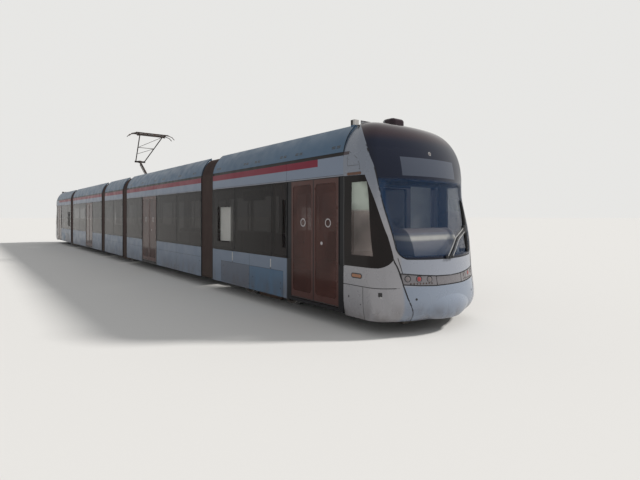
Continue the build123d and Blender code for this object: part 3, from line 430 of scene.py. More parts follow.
def partition_paint():
    """Mauve-grey panels behind the driver with a darker upper part."""
    skin = Finish("partition_paint", (0.3, 0.28, 0.29), 0.45)
    skin.mottle(3.0, (0.24, 0.225, 0.24), 0.6, (1.0, 1.0, 0.3))
    skin.paint((0.045, 0.055, 0.08), z=(2.46, None, 0.004))
    skin.roughen(7.0, 0.38, 0.52)
    return skin


def band_paint():
    """Grey silver of the lamp band under a clear coat."""
    skin = Finish("band_paint", (0.15, 0.142, 0.154), 0.26, 0.1, Coat_Weight=0.3, Coat_Roughness=0.05)
    skin.mottle(9.0, (0.115, 0.108, 0.118), 0.6, (1.0, 1.0, 2.0))
    skin.roughen(9.0, 0.2, 0.32)
    skin.relief(500.0, 0.12)
    return skin


def ribbed_fabric():
    """Coated bellows fabric, brown-grey, paler on the ridges and dusty low down."""
    skin = Finish("bellows_fabric", (0.042, 0.028, 0.026), 0.75, Specular_IOR_Level=0.3)
    skin.mottle(6.0, (0.066, 0.046, 0.042), 0.55, (1.0, 1.0, 0.5))
    skin.paint((0.085, 0.062, 0.056), skin.rise(skin.outer, 1.286, 1.306, 0.0, 0.5))
    skin.paint((0.07, 0.056, 0.048), skin.rise(skin.z, 0.3, 0.95, 0.5, 0.0))
    skin.relief(320.0, 0.5, 3.0, 0.0008)
    return skin


def trim(name, slot_name, colour, roughness, metallic=0.0, scale=20.0, drift=0.75, **sockets):
    """A trim material with a slight drift of its own colour and roughness, and its usual slot."""
    skin = Finish(name, colour, roughness, metallic, **sockets)
    skin.mottle(scale, tuple(channel * drift for channel in colour), 0.7)
    skin.roughen(scale * 1.5, max(roughness - 0.05, 0.02), roughness + 0.08)
    skin.relief(scale * 12.0, 0.2, distance=0.0003)
    return skin.material, slot_name


# Finish of each CAD node, by the last word of its name
FINISHES = {
    "walls": body_paint(),
    "nose": nose_paint(),
    "roof": roof_paint(),
    "windscreen": windscreen_glass(),
    "glazing": tinted_glass(),
    "doors": door_paint(),
    "floor": worn_metal("underframe_paint", (0.02, 0.018, 0.018), (0.055, 0.044, 0.036), 0.62, 0.1, 3.0),
    "bogie": bogie_paint(),
    "wheelset": wheel_steel(),
    "lamps": band_paint(),
    "interior": lining_paint(),
    "partition": partition_paint(),
    "base": frame_paint(),
    "arm": worn_metal("pantograph_tube", (0.03, 0.024, 0.023), (0.065, 0.04, 0.032), 0.45, 0.4, 9.0),
    "head": worn_metal("pantograph_strip", (0.034, 0.028, 0.027), (0.1, 0.055, 0.036), 0.45, 0.5, 9.0),
    "bellows": ribbed_fabric(),
}
VINYL = floor_paint()
RUBBER = trim("black_rubber", "bellows_rubber", (0.01, 0.01, 0.011), 0.55, Specular_IOR_Level=0.3)
TRIM_BLACK = trim("black_trim", "door_dark", (0.008, 0.008, 0.01), 0.3)
ORANGE_LENS = trim("orange_lens", "lamp_clear", (0.24, 0.08, 0.018), 0.18, Coat_Weight=0.8)
AMBER_POD = trim("amber_pod", "door_dark", (0.085, 0.03, 0.012), 0.35)
RED_LENS = trim("red_lens", "lamp_clear", (0.27, 0.007, 0.01), 0.15, Coat_Weight=0.8)
CLEAR_LENS = trim("clear_lens", "lamp_clear", (0.17, 0.145, 0.15), 0.12, 0.3, Coat_Weight=0.5)
PALE_METAL = trim("pale_metal", "wheel_steel", (0.42, 0.42, 0.42), 0.4, 0.2)
SIGN_GREY = trim("sign_grey", "tinted_glass", (0.07, 0.084, 0.118), 0.35)
PANE_PALE = trim("cab_wall_pane", "interior_grey", (0.66, 0.69, 0.69), 0.3, scale=3.0, drift=0.8)
BOARD_WHITE = trim("board_white", "interior_grey", (0.62, 0.62, 0.6), 0.45, scale=6.0, drift=0.9)
LIGHT_PANEL = trim("light_panel", "interior_grey", (0.72, 0.73, 0.73), 0.4, scale=6.0, drift=0.92)
STICKER = trim("sticker_white", "interior_grey", (0.42, 0.42, 0.44), 0.4)

for name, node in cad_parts.items():
    chosen = VINYL if name.endswith("raised_floor") else FINISHES[name.split("_")[-1]]
    if not node.material_slots:
        node.data.materials.append(chosen.material)
    for place in node.material_slots:
        place.material = chosen.material


def grid_quads(rows, columns, ring=False):
    """Quads of a rows by columns grid: corner (i, j) is number i * columns + j; a ring joins the
    last column to the first."""
    i, j = np.meshgrid(np.arange(rows - 1), np.arange(columns if ring else columns - 1), indexing="ij")
    after = (j + 1) % columns
    row, next_row = i * columns, (i + 1) * columns
    return np.stack([row + j, row + after, next_row + after, next_row + j], -1).reshape(-1, 4).tolist()


def carried(stations, corners):
    """Faces of a closed outline carried along a line: quads join one station to the next, and one
    flat face closes each end."""
    last = (stations - 1) * corners
    ends = [list(range(corners))[::-1], list(range(last, last + corners))]
    return grid_quads(stations, corners, True) + ends


def joined(shapes):
    """Several shapes as one: corner numbers shift by the corners already laid down."""
    points, faces = np.empty((0, 3)), []
    for more_points, more_faces in shapes:
        faces += [[corner + len(points) for corner in face] for face in more_faces]
        points = np.concatenate([points, more_points.reshape(-1, 3)])
    return points, faces


def both_sides(*shapes):
    """The shapes of the near side, and the same with y turned over."""
    points, faces = joined(shapes)
    return joined([(points, faces), (points * (1.0, -1.0, 1.0), faces)])


def turned_half(shape, end):
    """The front half's shape at its end of the tram: x and y change sign at the rear."""
    points, faces = shape
    return points * (TURN[end], TURN[end], 1.0), faces


def placed(name, data):
    """An object of the scene at the origin."""
    made = bpy.data.objects.new(name, data)
    bpy.context.scene.collection.objects.link(made)
    return made


def piece(name, finish, shape, body, smooth=False, slot_name=None):
    """A closed mesh object at the origin that rides on a body, its faces turned outwards. The slot
    name and the finish's usual slot are not used."""
    points, faces = shape
    material, usual_slot = finish
    mesh = bpy.data.meshes.new(name)
    mesh.from_pydata(points.reshape(-1, 3).tolist(), [], faces)
    work = bmesh.new()
    work.from_mesh(mesh)
    bmesh.ops.recalc_face_normals(work, faces=work.faces)
    work.to_mesh(mesh)
    work.free()
    mesh.polygons.foreach_set("use_smooth", [smooth] * len(mesh.polygons))
    mesh.materials.append(material)
    mesh.update()
    made = placed(name, mesh)
    if body:
        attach(made, body)
    return made


def dress(name, finish, shape, body="{}_module", **how):
    """One piece at the front and its twin at the rear, each on its own module."""
    for end in TURN:
        piece(f"{end}_{name}", finish, turned_half(shape, end), body.format(end), **how)


def dress_sides(name, finish, *shapes, **how):
    """The same with the shapes on both sides."""
    dress(name, finish, both_sides(*shapes), **how)


def dress_kind(kind, part, finish, shape, **how):
    """A piece of a kind of module: the centre has one, the others one at each end."""
    if kind == "centre":
        piece(f"centre_{part}", finish, shape, BODIES[kind], **how)
    else:
        dress(f"{kind}_{part}", finish, shape, BODIES[kind], **how)


def unit(vectors):
    """Vectors brought to length one."""
    return vectors / np.linalg.norm(vectors, axis=-1, keepdims=True)


def square_to(along):
    """Unit vectors square to directions in a plane, to their right."""
    along = unit(along)
    return np.stack([along[:, 1], -along[:, 0]], -1)


def rounded_corners(steps):
    """Corner signs of a rectangle, and points of the unit circle that go with each corner."""
    signs = np.repeat([(1.0, 1.0), (-1.0, 1.0), (-1.0, -1.0), (1.0, -1.0)], steps, axis=0)
    angle = (np.arange(4)[:, None] * np.pi / 2 + np.linspace(0, np.pi / 2, steps)).ravel()
    return signs, np.stack([np.cos(angle), np.sin(angle)], -1)


def rounded_bar(low, high, edge):
    """A rounded rectangle carried along the longest side: the outline's corners are quarter
    circles of the edge radius, and both ends are drawn in along the same quarter circle."""
    low, high = np.minimum(low, high), np.maximum(low, high)
    middle, half = (low + high) / 2, (high - low) / 2
    long_axis = int(np.argmax(half))
    across = [(long_axis + 1) % 3, (long_axis + 2) % 3]
    edge = min(edge, half[across[0]] * 0.98, half[across[1]] * 0.98)
    corner, circle = rounded_corners(4)
    bend = np.linspace(0, np.pi / 2, 4)
    drawn, reach = edge * (1 - np.sin(bend)), half[long_axis] - edge * (1 - np.cos(bend))
    ends = np.concatenate([drawn, drawn[::-1]])
    along = np.concatenate([-reach, reach[::-1]])
    outline = corner * (half[across] - edge) + circle * (edge - ends)[:, None, None]
    points = np.zeros((len(along), 16, 3))
    points[:, :, across] = outline
    points[:, :, long_axis] = along[:, None]
    return points + middle, carried(len(along), 16)


def ring_of(along, helper, sides):
    """Unit circle of points square to each direction, from the side that the helper gives."""
    first = unit(np.cross(along, helper))
    angle = np.linspace(0, 2 * np.pi, sides, endpoint=False)[:, None]
    return np.cos(angle) * first[..., None, :] + np.sin(angle) * np.cross(along, first)[..., None, :]


def turned_shape(profile, centre, axis, sides=24):
    """A profile of (radius, distance along the axis) turned about the axis, closed at both ends."""
    radius, distance = np.array(profile).T[:, :, None, None]
    points = radius * ring_of(axis, (0.0, 0.0, -1.0), sides) + distance * axis
    return points + centre, carried(len(profile), sides)


def tube(path, radius, sides=10):
    """A circle carried along a path, square to the path at each point, closed at both ends."""
    ring = ring_of(unit(np.gradient(path, axis=0)), (0.31, 0.17, 0.93), sides)
    return path[:, None] + ring * np.reshape(radius, (-1, 1, 1)), carried(len(path), sides)


def evenly(corners, count):
    """Points spread evenly along a line through the corners."""
    corners = np.array(corners)
    length = np.concatenate([[0], np.cumsum(np.linalg.norm(np.diff(corners, axis=0), axis=1))])
    even = np.linspace(0, length[-1], count)
    return np.stack([np.interp(even, length, column) for column in corners.T], -1)


def eased(corners, count):
    """Evenly spread points whose bends are eased by averaging each with its neighbours."""
    path = evenly(corners, count)
    for _ in range(3):
        path[1:-1] = (path[:-2] + 2 * path[1:-1] + path[2:]) / 4
    return path


def leg(longest, other):
    """The second short side of a right triangle, nothing where the first is too long for it."""
    return np.sqrt(np.maximum(longest ** 2 - other ** 2, 0.0))


def section_at(z, proud):
    """Corner radius, front radius, front centre and corner centre of the nose at a height, the
    skin moved out by proud."""
    half, corner, front, tip = (np.interp(z, NOSE[:, 0], column) + proud for column in NOSE[:, 1:].T)
    centre_y = half - corner
    front_centre = tip - front
    return corner, front, front_centre, front_centre + leg(front - corner, centre_y), centre_y


def nose_x(y, z, proud=0.0):
    """How far forward the nose skin is at (y, z). At a height the plan is a wide front arc, and
    nearer the side a corner arc that touches it; proud moves the skin out or, below zero, in."""
    y = np.abs(y)
    corner, front, front_centre, centre_x, centre_y = section_at(z, proud)
    touch_y = centre_y / (front - corner) * front
    front_x = front_centre + leg(front, y)
    side_x = centre_x + leg(corner, y - centre_y)
    return np.where(y <= touch_y, front_x, side_x)


def on_nose(y, z, proud=0.0):
    """Points of the nose skin for arrays of y and z."""
    y, z = np.broadcast_arrays(y, z)
    return np.stack([nose_x(y, z, proud), y, z], -1)


def on_side(x, z, proud=0.0):
    """Points of the near side for arrays of x and z: the flat wall, and from the cab forward the
    nose's side, its corner arc and then its front arc, never past the widest panel."""
    x, z = np.broadcast_arrays(x, z)
    corner, front, front_centre, centre_x, centre_y = section_at(z, proud)
    corner_y = centre_y + leg(corner, np.clip(x - centre_x, 0.0, corner))
    front_y = leg(front, x - front_centre)
    touch_x = front_centre + front * (centre_x - front_centre) / (front - corner)
    nose_side = np.minimum(np.where(x <= touch_x, corner_y, front_y), WIDEST)
    return np.stack([x, -np.where(x < CAB_START, HALF_WIDTH + proud, nose_side), z], -1)


FAIRING = np.array([(1.32, 3.011), (1.222, 3.283), (1.025, 3.505)])


def circle_of(three):
    """Centre and radius of the circle through three points of a plane: for each further point q
    the centre c solves 2 (q - p) . c = |q|^2 - |p|^2."""
    points = np.array(three)
    squares = (points ** 2).sum(1)
    centre = np.linalg.solve(2 * (points[1:] - points[0]), squares[1:] - squares[0])
    return centre, np.linalg.norm(points[0] - centre)


def arc(three, count):
    """Points of the arc from the first through the second to the third point."""
    centre, radius = circle_of(three)
    whole = np.unwrap([np.arctan2(*(np.array(point) - centre)[::-1]) for point in three])
    turn = np.linspace(whole[0], whole[2], count)
    return centre + radius * np.stack([np.cos(turn), np.sin(turn)], -1)


def on_fairing(x, z, proud=0.0):
    """Points of the near roof fairing, an arc in (y, z) carried along x."""
    x, z = np.broadcast_arrays(x, z)
    centre, radius = circle_of(FAIRING)
    return np.stack([x, -(centre[0] + leg(radius + proud, z - centre[1])), z], -1)


def ribbon(line, width, place, top, bottom):
    """A flat strip along a line in a surface's own two coordinates: its edges lie half a width to
    either side, square to the line, and place() puts them at two heights over the surface."""
    square = square_to(np.gradient(line, axis=0)) * width / 2
    left, right = line - square, line + square
    edges = ((left, top), (right, top), (right, bottom), (left, bottom))
    return np.stack([place(*edge.T, proud) for edge, proud in edges], 1), carried(len(line), 4)


def pad(a, b, half_u, half_v, radius, place, under, over, soft=0.0015):
    """A badge at (a, b) of a surface: a rounded rectangle in the surface's plane there, carried from
    under the surface to over it, its upper edge softened in two steps."""
    centre = place(a, b)
    u = unit(place(a + 0.002, b) - centre)
    v = place(a, b + 0.002) - centre
    v = unit(v - u * (u @ v))
    outward = np.cross(u, v)
    if outward @ (place(a, b, 0.01) - centre) < 0:
        outward = -outward
    radius = max(min(radius, half_u, half_v), soft)
    corner, circle = rounded_corners(6)
    heights = np.array([-under, over - soft, over - 0.3 * soft, over])[:, None, None]
    shrink = np.array([0.0, 0.0, 0.3 * soft, soft])[:, None, None]
    flat = corner * (half_u - radius, half_v - radius) + circle * (radius - shrink)
    points = flat[..., :1] * u + flat[..., 1:] * v + heights * outward
    return centre + points, carried(4, 24)


def dot(a, b, radius, place, under, over, soft=0.0015):
    """A round badge."""
    return pad(a, b, radius, radius, radius, place, under, over, soft)


def slab(front, back):
    """A sheet with thickness: the front grid, the back grid, and the rim between them."""
    rows, columns = front.shape[:2]
    rim = [np.concatenate([grid[:, 0], grid[-1, 1:], grid[-2::-1, -1], grid[0, -2:0:-1]])
           for grid in (back, front)]
    return joined([
        (front, grid_quads(rows, columns)),
        (back, [face[::-1] for face in grid_quads(rows, columns)]),
        (np.stack(rim), grid_quads(2, len(rim[0]), True)),
    ])


# Half outline of a gangway hoop from its foot to the middle of the roof, outer and inner face
HOOP_OUTER = np.array([(1.306, 0.292), (1.306, 2.98), (1.288, 3.085), (1.214, 3.266), (1.13, 3.372),
                       (1.018, 3.462), (0.0, 3.466)])
HOOP_INNER = np.array([(1.242, 0.292), (1.238, 2.985), (1.16, 3.2), (1.06, 3.34), (0.975, 3.404),
                       (0.0, 3.404)])
FOLD_DEPTH = 0.024


def bellows_skin(x0, x1, folds):
    """The whole hoop, up the left foot of the outer face, over the roof, and back inside. Along x
    the skin is drawn in, square to the outline, by depth * (1 - cos(2 pi * folds * u)) / 2."""
    outer = evenly(np.concatenate([HOOP_OUTER, (HOOP_OUTER * (-1.0, 1.0))[-2::-1]]), 120)
    inner = evenly(np.concatenate([HOOP_INNER * (-1.0, 1.0), HOOP_INNER[-2::-1]]), 100)
    outline = np.concatenate([outer, inner])
    outward = square_to(np.roll(outline, -1, 0) - np.roll(outline, 1, 0))
    share = np.concatenate([np.ones(len(outer)), np.full(len(inner), -0.35)])
    x = np.linspace(x0, x1, folds * 10 + 1)
    fold = FOLD_DEPTH * (1 - np.cos(2 * np.pi * folds * (x - x0) / (x1 - x0))) / 2
    section = outline[None] - fold[:, None, None] * share[None, :, None] * outward[None]
    return np.insert(section, 0, x[:, None], 2), carried(len(x), len(outline))


GANGWAYS = {
    "outer": (MID[1], CAB_REAR, 12, "{}_mid_module", "{}_module"),
    "inner": (CENTRE_END, MID[0], 10, "centre_module", "{}_mid_module"),
}
for end in TURN:
    for place, (x0, x1, folds, near, far) in GANGWAYS.items():
        shape = turned_half(bellows_skin(x0, x1, folds), end)
        fabric = FINISHES["bellows"].material, "bellows_rubber"
        skin = piece(f"{end}_{place}_gangway", fabric, shape, None, True)
        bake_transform(skin)
        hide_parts(f"{end}_{place}_bellows")


def end_frame(x0):
    """A black frame round a module's end: the side wall and the fairing's arc in (y, z), a strip
    2 mm proud of them, carried on from x0."""
    line = np.concatenate([[(HALF_WIDTH, 0.29), (HALF_WIDTH, 2.946), (1.3245, 3.005)], arc(FAIRING, 12)])
    outward = square_to(np.gradient(line, axis=0))
    x1, outer, inner = x0 + FRAME_DEPTH, line + outward * 0.002, line - outward * 0.006
    corners = ((x0, outer), (x1, outer), (x1, inner), (x0, inner))
    return np.stack([np.insert(edge, 0, x, 1) for x, edge in corners], 1), carried(len(line), 4)


FRAME_DEPTH = 0.022
for name, kind, x in (("cab", "cab", CAB_REAR), ("outer", "mid", MID[1] - FRAME_DEPTH),
                      ("inner", "mid", MID[0]), ("centre", "centre", CENTRE_END - FRAME_DEPTH)):
    dress_sides(f"{name}_end_frame", RUBBER, end_frame(x), body=BODIES[kind])

# One half of the windscreen and brow as (y, z): arcs through three points from the foot's middle,
# each from where the last one ends
SCREEN = [(0.0, 1.222), (0.42, 1.2256), (0.85, 1.24), (0.968, 1.32), (1.015, 1.45), (1.058, 1.767),
          (1.111, 2.25), (1.15, 2.5), (1.212, 2.801), (1.236, 2.98), (1.219, 3.127), (1.14, 3.335),
          (0.943, 3.527)]
SCREEN_ARCS = [arc(SCREEN[first:first + 3], 16)[:-1] for first in range(0, 12, 2)]
SCREEN_LINE = np.concatenate([*SCREEN_ARCS, SCREEN[-1:]])
LAMPS = [(0.863, 0.929, CLEAR_LENS, "clear_outer"), (0.674, 0.919, RED_LENS, "red"),
         (0.48, 0.907, CLEAR_LENS, "clear_inner")]
MASK_SEAM = [(1.0685, 1.265), (1.0405, 1.185), (1.0105, 1.12), (0.9845, 1.04), (0.9475, 0.85),
             (0.8945, 0.63), (0.8065, 0.405), (0.7685, 0.25)]
CORNER_SEAM = [(0.9945, 1.262), (0.9595, 1.121), (0.9345, 1.006)]
BAND = [(0.0, 0.8), (0.367, 0.8), (0.681, 0.817), (0.941, 0.841), (0.971, 1.015), (0.635, 0.978),
        (0.324, 0.953), (0.0, 0.944)]


def seam(corners, count, width, place, top=0.0012, foot=-0.0078):
    """A dark line through corners, a little proud of the surface and down into its joint."""
    return ribbon(evenly(corners, count), width, place, top, foot)


dress_sides("screen_seal", RUBBER, ribbon(SCREEN_LINE, 0.016, on_nose, 0.0015, -0.006))
dress_sides("mask_seals", RUBBER, seam(MASK_SEAM, 80, 0.02, on_nose), seam(CORNER_SEAM, 30, 0.009, on_nose),
            seam([(15.026, 0.787), (15.96, 0.787)], 60, 0.0105, on_side),
            seam([(15.492, 0.252), (15.492, 0.784)], 30, 0.009, on_side))
dress_sides("band_seal", RUBBER, seam(BAND, 120, 0.0165, on_nose, foot=-0.018),
            seam([(0.335, 0.802), (0.335, 0.952)], 8, 0.0095, on_nose, 0.0006, -0.018))


def skin_normal(y, z):
    """Direction square to the nose skin at (y, z), from the slopes of nose_x."""
    step = 0.002
    slope_y = (nose_x(y + step, z) - nose_x(y - step, z)) / (2 * step)
    slope_z = (nose_x(y, z + step) - nose_x(y, z - step)) / (2 * step)
    return unit(np.array([1.0, -float(slope_y), -float(slope_z)]))


def nose_turned(profile, y, z, depth=0.0, sides=24):
    """A profile turned about the line square to the nose skin at (y, z)."""
    return turned_shape(profile, on_nose(y, z, depth), skin_normal(y, z), sides)


# Profiles of round fittings: radius and height over the skin
BEZEL = [(0.056, -0.018), (0.056, -0.001), (0.0545, 0.0008), (0.0425, 0.0008), (0.04, -0.0035),
         (0.036, -0.006)]
DOME = [(0.0385, -0.008), (0.0385, -0.004), (0.034, 0.0005), (0.024, 0.0035), (0.012, 0.005),
        (0.002, 0.0055)]
LED_RIM = [(0.0155, -0.008), (0.0155, -0.0015), (0.014, 0.0), (0.0105, 0.0), (0.0095, -0.002)]
LED = [(0.0092, -0.004), (0.0088, -0.001), (0.006, 0.0015), (0.001, 0.0022)]
MARKER_RIM = [(0.036, -0.02), (0.036, 0.006), (0.031, 0.01), (0.027, 0.007)]
MARKER_LENS = [(0.028, 0.0), (0.027, 0.008), (0.02, 0.013), (0.01, 0.016), (0.002, 0.0165)]
ARM_CAP = [(0.03, -0.01), (0.03, 0.03), (0.022, 0.042), (0.004, 0.045)]

LENS = {"smooth": True, "slot_name": "lamp_clear"}
dress_sides("lamp_bezels", TRIM_BLACK,
            *[nose_turned(BEZEL, y, z, -0.001, 40) for y, z, _, _ in LAMPS], **LENS)
for y, z, lens, lens_name in LAMPS:
    dress_sides(f"lens_{lens_name}", lens, nose_turned(DOME, y, z, sides=40), **LENS)
LED_SPOTS = [(y, 0.8445 + 0.017 * (y - 0.443)) for y in np.linspace(0.443, 0.821, 8)]
dress_sides("led_rims", TRIM_BLACK, *[nose_turned(LED_RIM, y, z, sides=16) for y, z in LED_SPOTS], **LENS)
dress_sides("led_lenses", AMBER_POD, *[nose_turned(LED, y, z, -0.001, 12) for y, z in LED_SPOTS], **LENS)

# The blank sign behind the head of the windscreen, and the marker lamp above it
sign_y = np.linspace(-SIGN_HALF, SIGN_HALF, 25)[:, None]
sign_front = on_nose(sign_y, np.linspace(*SIGN_HEIGHTS, 7), -0.066)
dress("sign", SIGN_GREY, slab(sign_front, sign_front - (0.05, 0.0, 0.0)))
for name, profile, finish in (("rim", MARKER_RIM, PALE_METAL), ("lens", MARKER_LENS, CLEAR_LENS)):
    dress(f"marker_{name}", finish, nose_turned(profile, 0.0, 3.003, -0.004), smooth=True)


def screen_path(line, count, proud):
    """A path over the windscreen through points (y, z), standing off it by proud."""
    return on_nose(*eased(line, count).T, proud)


# The wiper: foot, knee and tip of its two links, with the arm between them, and the blade
WIPER_LINES = [
    [(-0.07, 1.236), (0.235, 1.56), (0.64, 1.72)],
    [(-0.002, 1.232), (0.285, 1.548), (0.65, 1.69)],
    [(0.069, 1.236), (0.33, 1.52), (0.655, 1.655)],
]
BLADE_LINE = [(0.842, 2.205), (0.805, 2.0), (0.715, 1.76), (0.668, 1.56), (0.664, 1.29)]
BLADE_RADII = 0.012 + 0.02 * np.sin(np.linspace(0.12, np.pi - 0.12, 40)) ** 0.5
dress("wiper_links", PALE_METAL, joined([
    tube(screen_path(line, 30, 0.032), 0.0085) for line in WIPER_LINES[::2]
]), smooth=True)
dress("wiper_arm", TRIM_BLACK, joined([
    tube(screen_path(WIPER_LINES[1], 30, 0.03), np.linspace(0.016, 0.011, 30)),
    *[turned_shape(ARM_CAP, on_nose(y, z + 0.004), skin_normal(y, z)) for (y, z), _, _ in WIPER_LINES],
    rounded_bar(on_nose(0.6, 1.6, 0.022), on_nose(0.68, 1.76, 0.03), 0.01),
]), smooth=True)
dress("wiper_blade", RUBBER, joined([
    tube(screen_path(BLADE_LINE, 40, 0.024), BLADE_RADII),
    tube(screen_path(BLADE_LINE, 40, 0.006), 0.007),
]), smooth=True)

# Small parts of the nose's sides and bumper
dress_sides("marker_rims", TRIM_BLACK, pad(15.3425, 0.95, 0.129, 0.043, 0.043, on_side, 0.006, 0.0025))
dress_sides("orange_markers", ORANGE_LENS,
            pad(15.3425, 0.95, 0.112, 0.027, 0.027, on_side, 0.002, 0.0048, 0.003))
dress_sides("camera_pods", AMBER_POD, pad(15.278, 2.625, 0.163, 0.023, 0.018, on_side, 0.01, 0.005, 0.003))
dress_sides(
    "latches", TRIM_BLACK,
    pad(15.815, 0.69, 0.032, 0.034, 0.012, on_side, 0.003, 0.0016),
    dot(15.433, 0.488, 0.011, on_side, 0.003, 0.0015),
    pad(15.156, 0.59, 0.012, 0.018, 0.006, on_side, 0.003, 0.0015),
    dot(-0.757, 0.608, 0.019, on_nose, 0.004, 0.003),
    dot(-0.926, 0.326, 0.011, on_nose, 0.003, 0.002),
)
dress_sides("latch_rings", PALE_METAL, dot(15.828, 0.65, 0.017, on_side, 0.003, 0.0016))
FLAP = [(15.12, 2.99), (15.122, 2.9), (15.13, 2.762), (15.392, 2.76)]
FLAP_SLOPE = [(15.168, 2.995), (15.268, 2.94), (15.37, 2.863), (15.4, 2.8), (15.421, 2.72)]
dress_sides(
    "flap_lines", TRIM_BLACK,
    seam(FLAP, 50, 0.006, on_side, 0.001, -0.004),
    ribbon(eased(FLAP_SLOPE, 40), 0.006, on_side, 0.001, -0.004),
    dot(15.412, 2.697, 0.01, on_side, 0.003, 0.0016),
    dot(15.158, 2.872, 0.007, on_side, 0.003, 0.0014),
    dot(15.158, 2.935, 0.007, on_side, 0.003, 0.0014),
)

# Seams between the cab section and the moulded nose: up the fairing's arc, and up the lower wall
seam_path = np.insert(arc(FAIRING, 24) * (-1.0, 1.0), 0, CAB_START, 1)
dress_sides("cab_roof_seam", RUBBER, tube(seam_path, 0.006))
dress_sides("cab_wall_seam", RUBBER,
            seam([(CAB_START, 0.29), (CAB_START, 1.09)], 10, 0.008, on_side, foot=-0.006))


def slot_pairs(spots):
    """Vents of a fairing: at each x two pairs of short dark slots, one pair over the other."""
    return both_sides(*[
        pad(x + step, z, 0.048, 0.0095, 0.006, on_fairing, 0.004, 0.0008, 0.0006)
        for x in spots for step in (-0.066, 0.066) for z in (3.1, 3.128)
    ])


VENTS = {
    "cab": (10.24, 11.63, 12.14, 13.16, 13.7, 14.8),
    "mid": (2.6, 4.0, 5.4, 6.2, 7.6, 8.7),
    "centre": (-0.9, 0.9),
}
for kind, spots in VENTS.items():
    dress_kind(kind, "vents", TRIM_BLACK, slot_pairs(spots), slot_name="roof_grey")

FASTENERS = [(10.537, 0.47), (11.808, 0.602), (11.987, 0.571), (13.1, 0.563), (13.1, 0.451),
             (10.537, 0.7), (11.808, 0.4), (11.987, 0.35)]
HATCH_TABS = ((11.019, 0.858, 1.065), (12.726, 0.858, 1.028))
dress_sides("hatch_locks", TRIM_BLACK, *[dot(x, z, 0.013, on_side, 0.004, 0.0018) for x, z in FASTENERS],
            *[pad(x, 0.83, 0.016, 0.014, 0.014, on_side, 0.004, 0.002) for x, _, _ in HATCH_TABS])
dress_sides("hatch_tabs", PALE_METAL, *[
    pad(x, (low + high) / 2, 0.017, (high - low) / 2, 0.012, on_side, 0.004, 0.0022)
    for x, low, high in HATCH_TABS
])
dress_sides("mid_hatch_locks", TRIM_BLACK, *[
    dot(x, z, 0.012, on_side, 0.004, 0.0018) for x in (2.2, 3.88, 5.75, 7.28, 7.52, 9.1) for z in (0.42, 0.7)
], body=BODIES["mid"])


def at_depth(depth):
    """A side surface set back by a depth from the wall plane."""
    return lambda x, z, proud=0.0: np.stack(np.broadcast_arrays(x, depth - HALF_WIDTH - proud, z), -1)


def ring(x, z, radius, width, place):
    """A flat ring sticker."""
    turn = np.linspace(0, 2 * np.pi, 41)
    line = np.column_stack([x + radius * np.cos(turn), z + radius * np.sin(turn)])
    return ribbon(line, width, place, 0.0012, -0.001)


def door_fittings(kind, x0, x1):
    """Rubber edges where the two leaves meet and at the posts, a rail across each light, a ring
    sticker on each, a button, a small grip and the sill."""
    middle, half = (x0 + x1) / 2, (x1 - x0) / 2
    leaf = half - 0.015
    starts = (x0 + 0.01, x0 + 0.02 + leaf)
    face, glass = at_depth(0.004), at_depth(0.008)
    fittings = [
        ("edges", RUBBER, [
            *[seam([(x, 0.35), (x, 2.588)], 12, width, face, foot=-0.012)
              for x, width in ((middle, 0.02), (x0 + 0.006, 0.01), (x1 - 0.006, 0.01))],
            seam([(x0, 2.597), (x1, 2.597)], 12, 0.012, face, 0.003, -0.012)]),
        ("rails", PALE_METAL, [
            tube(np.linspace((x + 0.07, -1.262, 1.395), (x + leaf - 0.07, -1.262, 1.395), 6), 0.01)
            for x in starts]),
        ("stickers", STICKER, [
            ring(middle + offset, 1.802, 0.07, 0.016, glass) for offset in (-0.326, 0.416)]),
        ("buttons", STICKER, [
            dot(starts[1] + 0.028, 1.18, 0.014, face, 0.0, 0.0055, 0.002),
            dot(middle + 0.235, 1.434, 0.03, glass, 0.002, 0.0022, 0.001)]),
        ("grips", TRIM_BLACK, [pad(middle - 0.313, 1.437, 0.02, 0.01, 0.006, glass, 0.002, 0.003)]),
        ("sills", TRIM_BLACK, [pad(middle, 0.368, half - 0.02, 0.008, 0.004, face, 0.01, 0.0035)]),
    ]
    for part, finish, shapes in fittings:
        dress_kind(kind, f"door_{part}", finish, both_sides(*shapes), smooth=part == "rails")


door_fittings("cab", *CAB_DOOR)
door_fittings("mid", *MID_DOOR)

# Window seals, thin rubber lines between the panes of each module: along, width
WINDOW_SEALS = {
    "cab": ((11.12, 0.018), (12.77, 0.018), (13.32, 0.012)),
    "mid": ((4.014, 0.012), (5.616, 0.01), (7.4, 0.018)),
}
for kind, seals in WINDOW_SEALS.items():
    dress_kind(kind, "window_seals", RUBBER, both_sides(*[
        seam([(x, 1.086), (x, 2.6)], 8, width, at_depth(0.0), -0.001, -0.01) for x, width in seals
    ]))

# Inside: ceilings from x0 to x1 with two light strips, a little shorter
SALOONS = {
    "cab": (CAB_REAR + 0.05, 14.9, 0.2),
    "mid": (MID[0] + 0.05, MID[1] - 0.05, 0.2),
    "centre": (-CENTRE_END + 0.05, CENTRE_END - 0.05, 0.15),
}
for kind, (x0, x1, shorter) in SALOONS.items():
    dress_kind(kind, "ceiling", LIGHT_PANEL, rounded_bar((x0, -1.235, 2.915), (x1, 1.235, 2.947), 0.012))
    dress_kind(kind, "light_strips", BOARD_WHITE, both_sides(
        rounded_bar((x0 + shorter, 0.42, 2.898), (x1 - shorter, 0.6, 2.918), 0.006)))

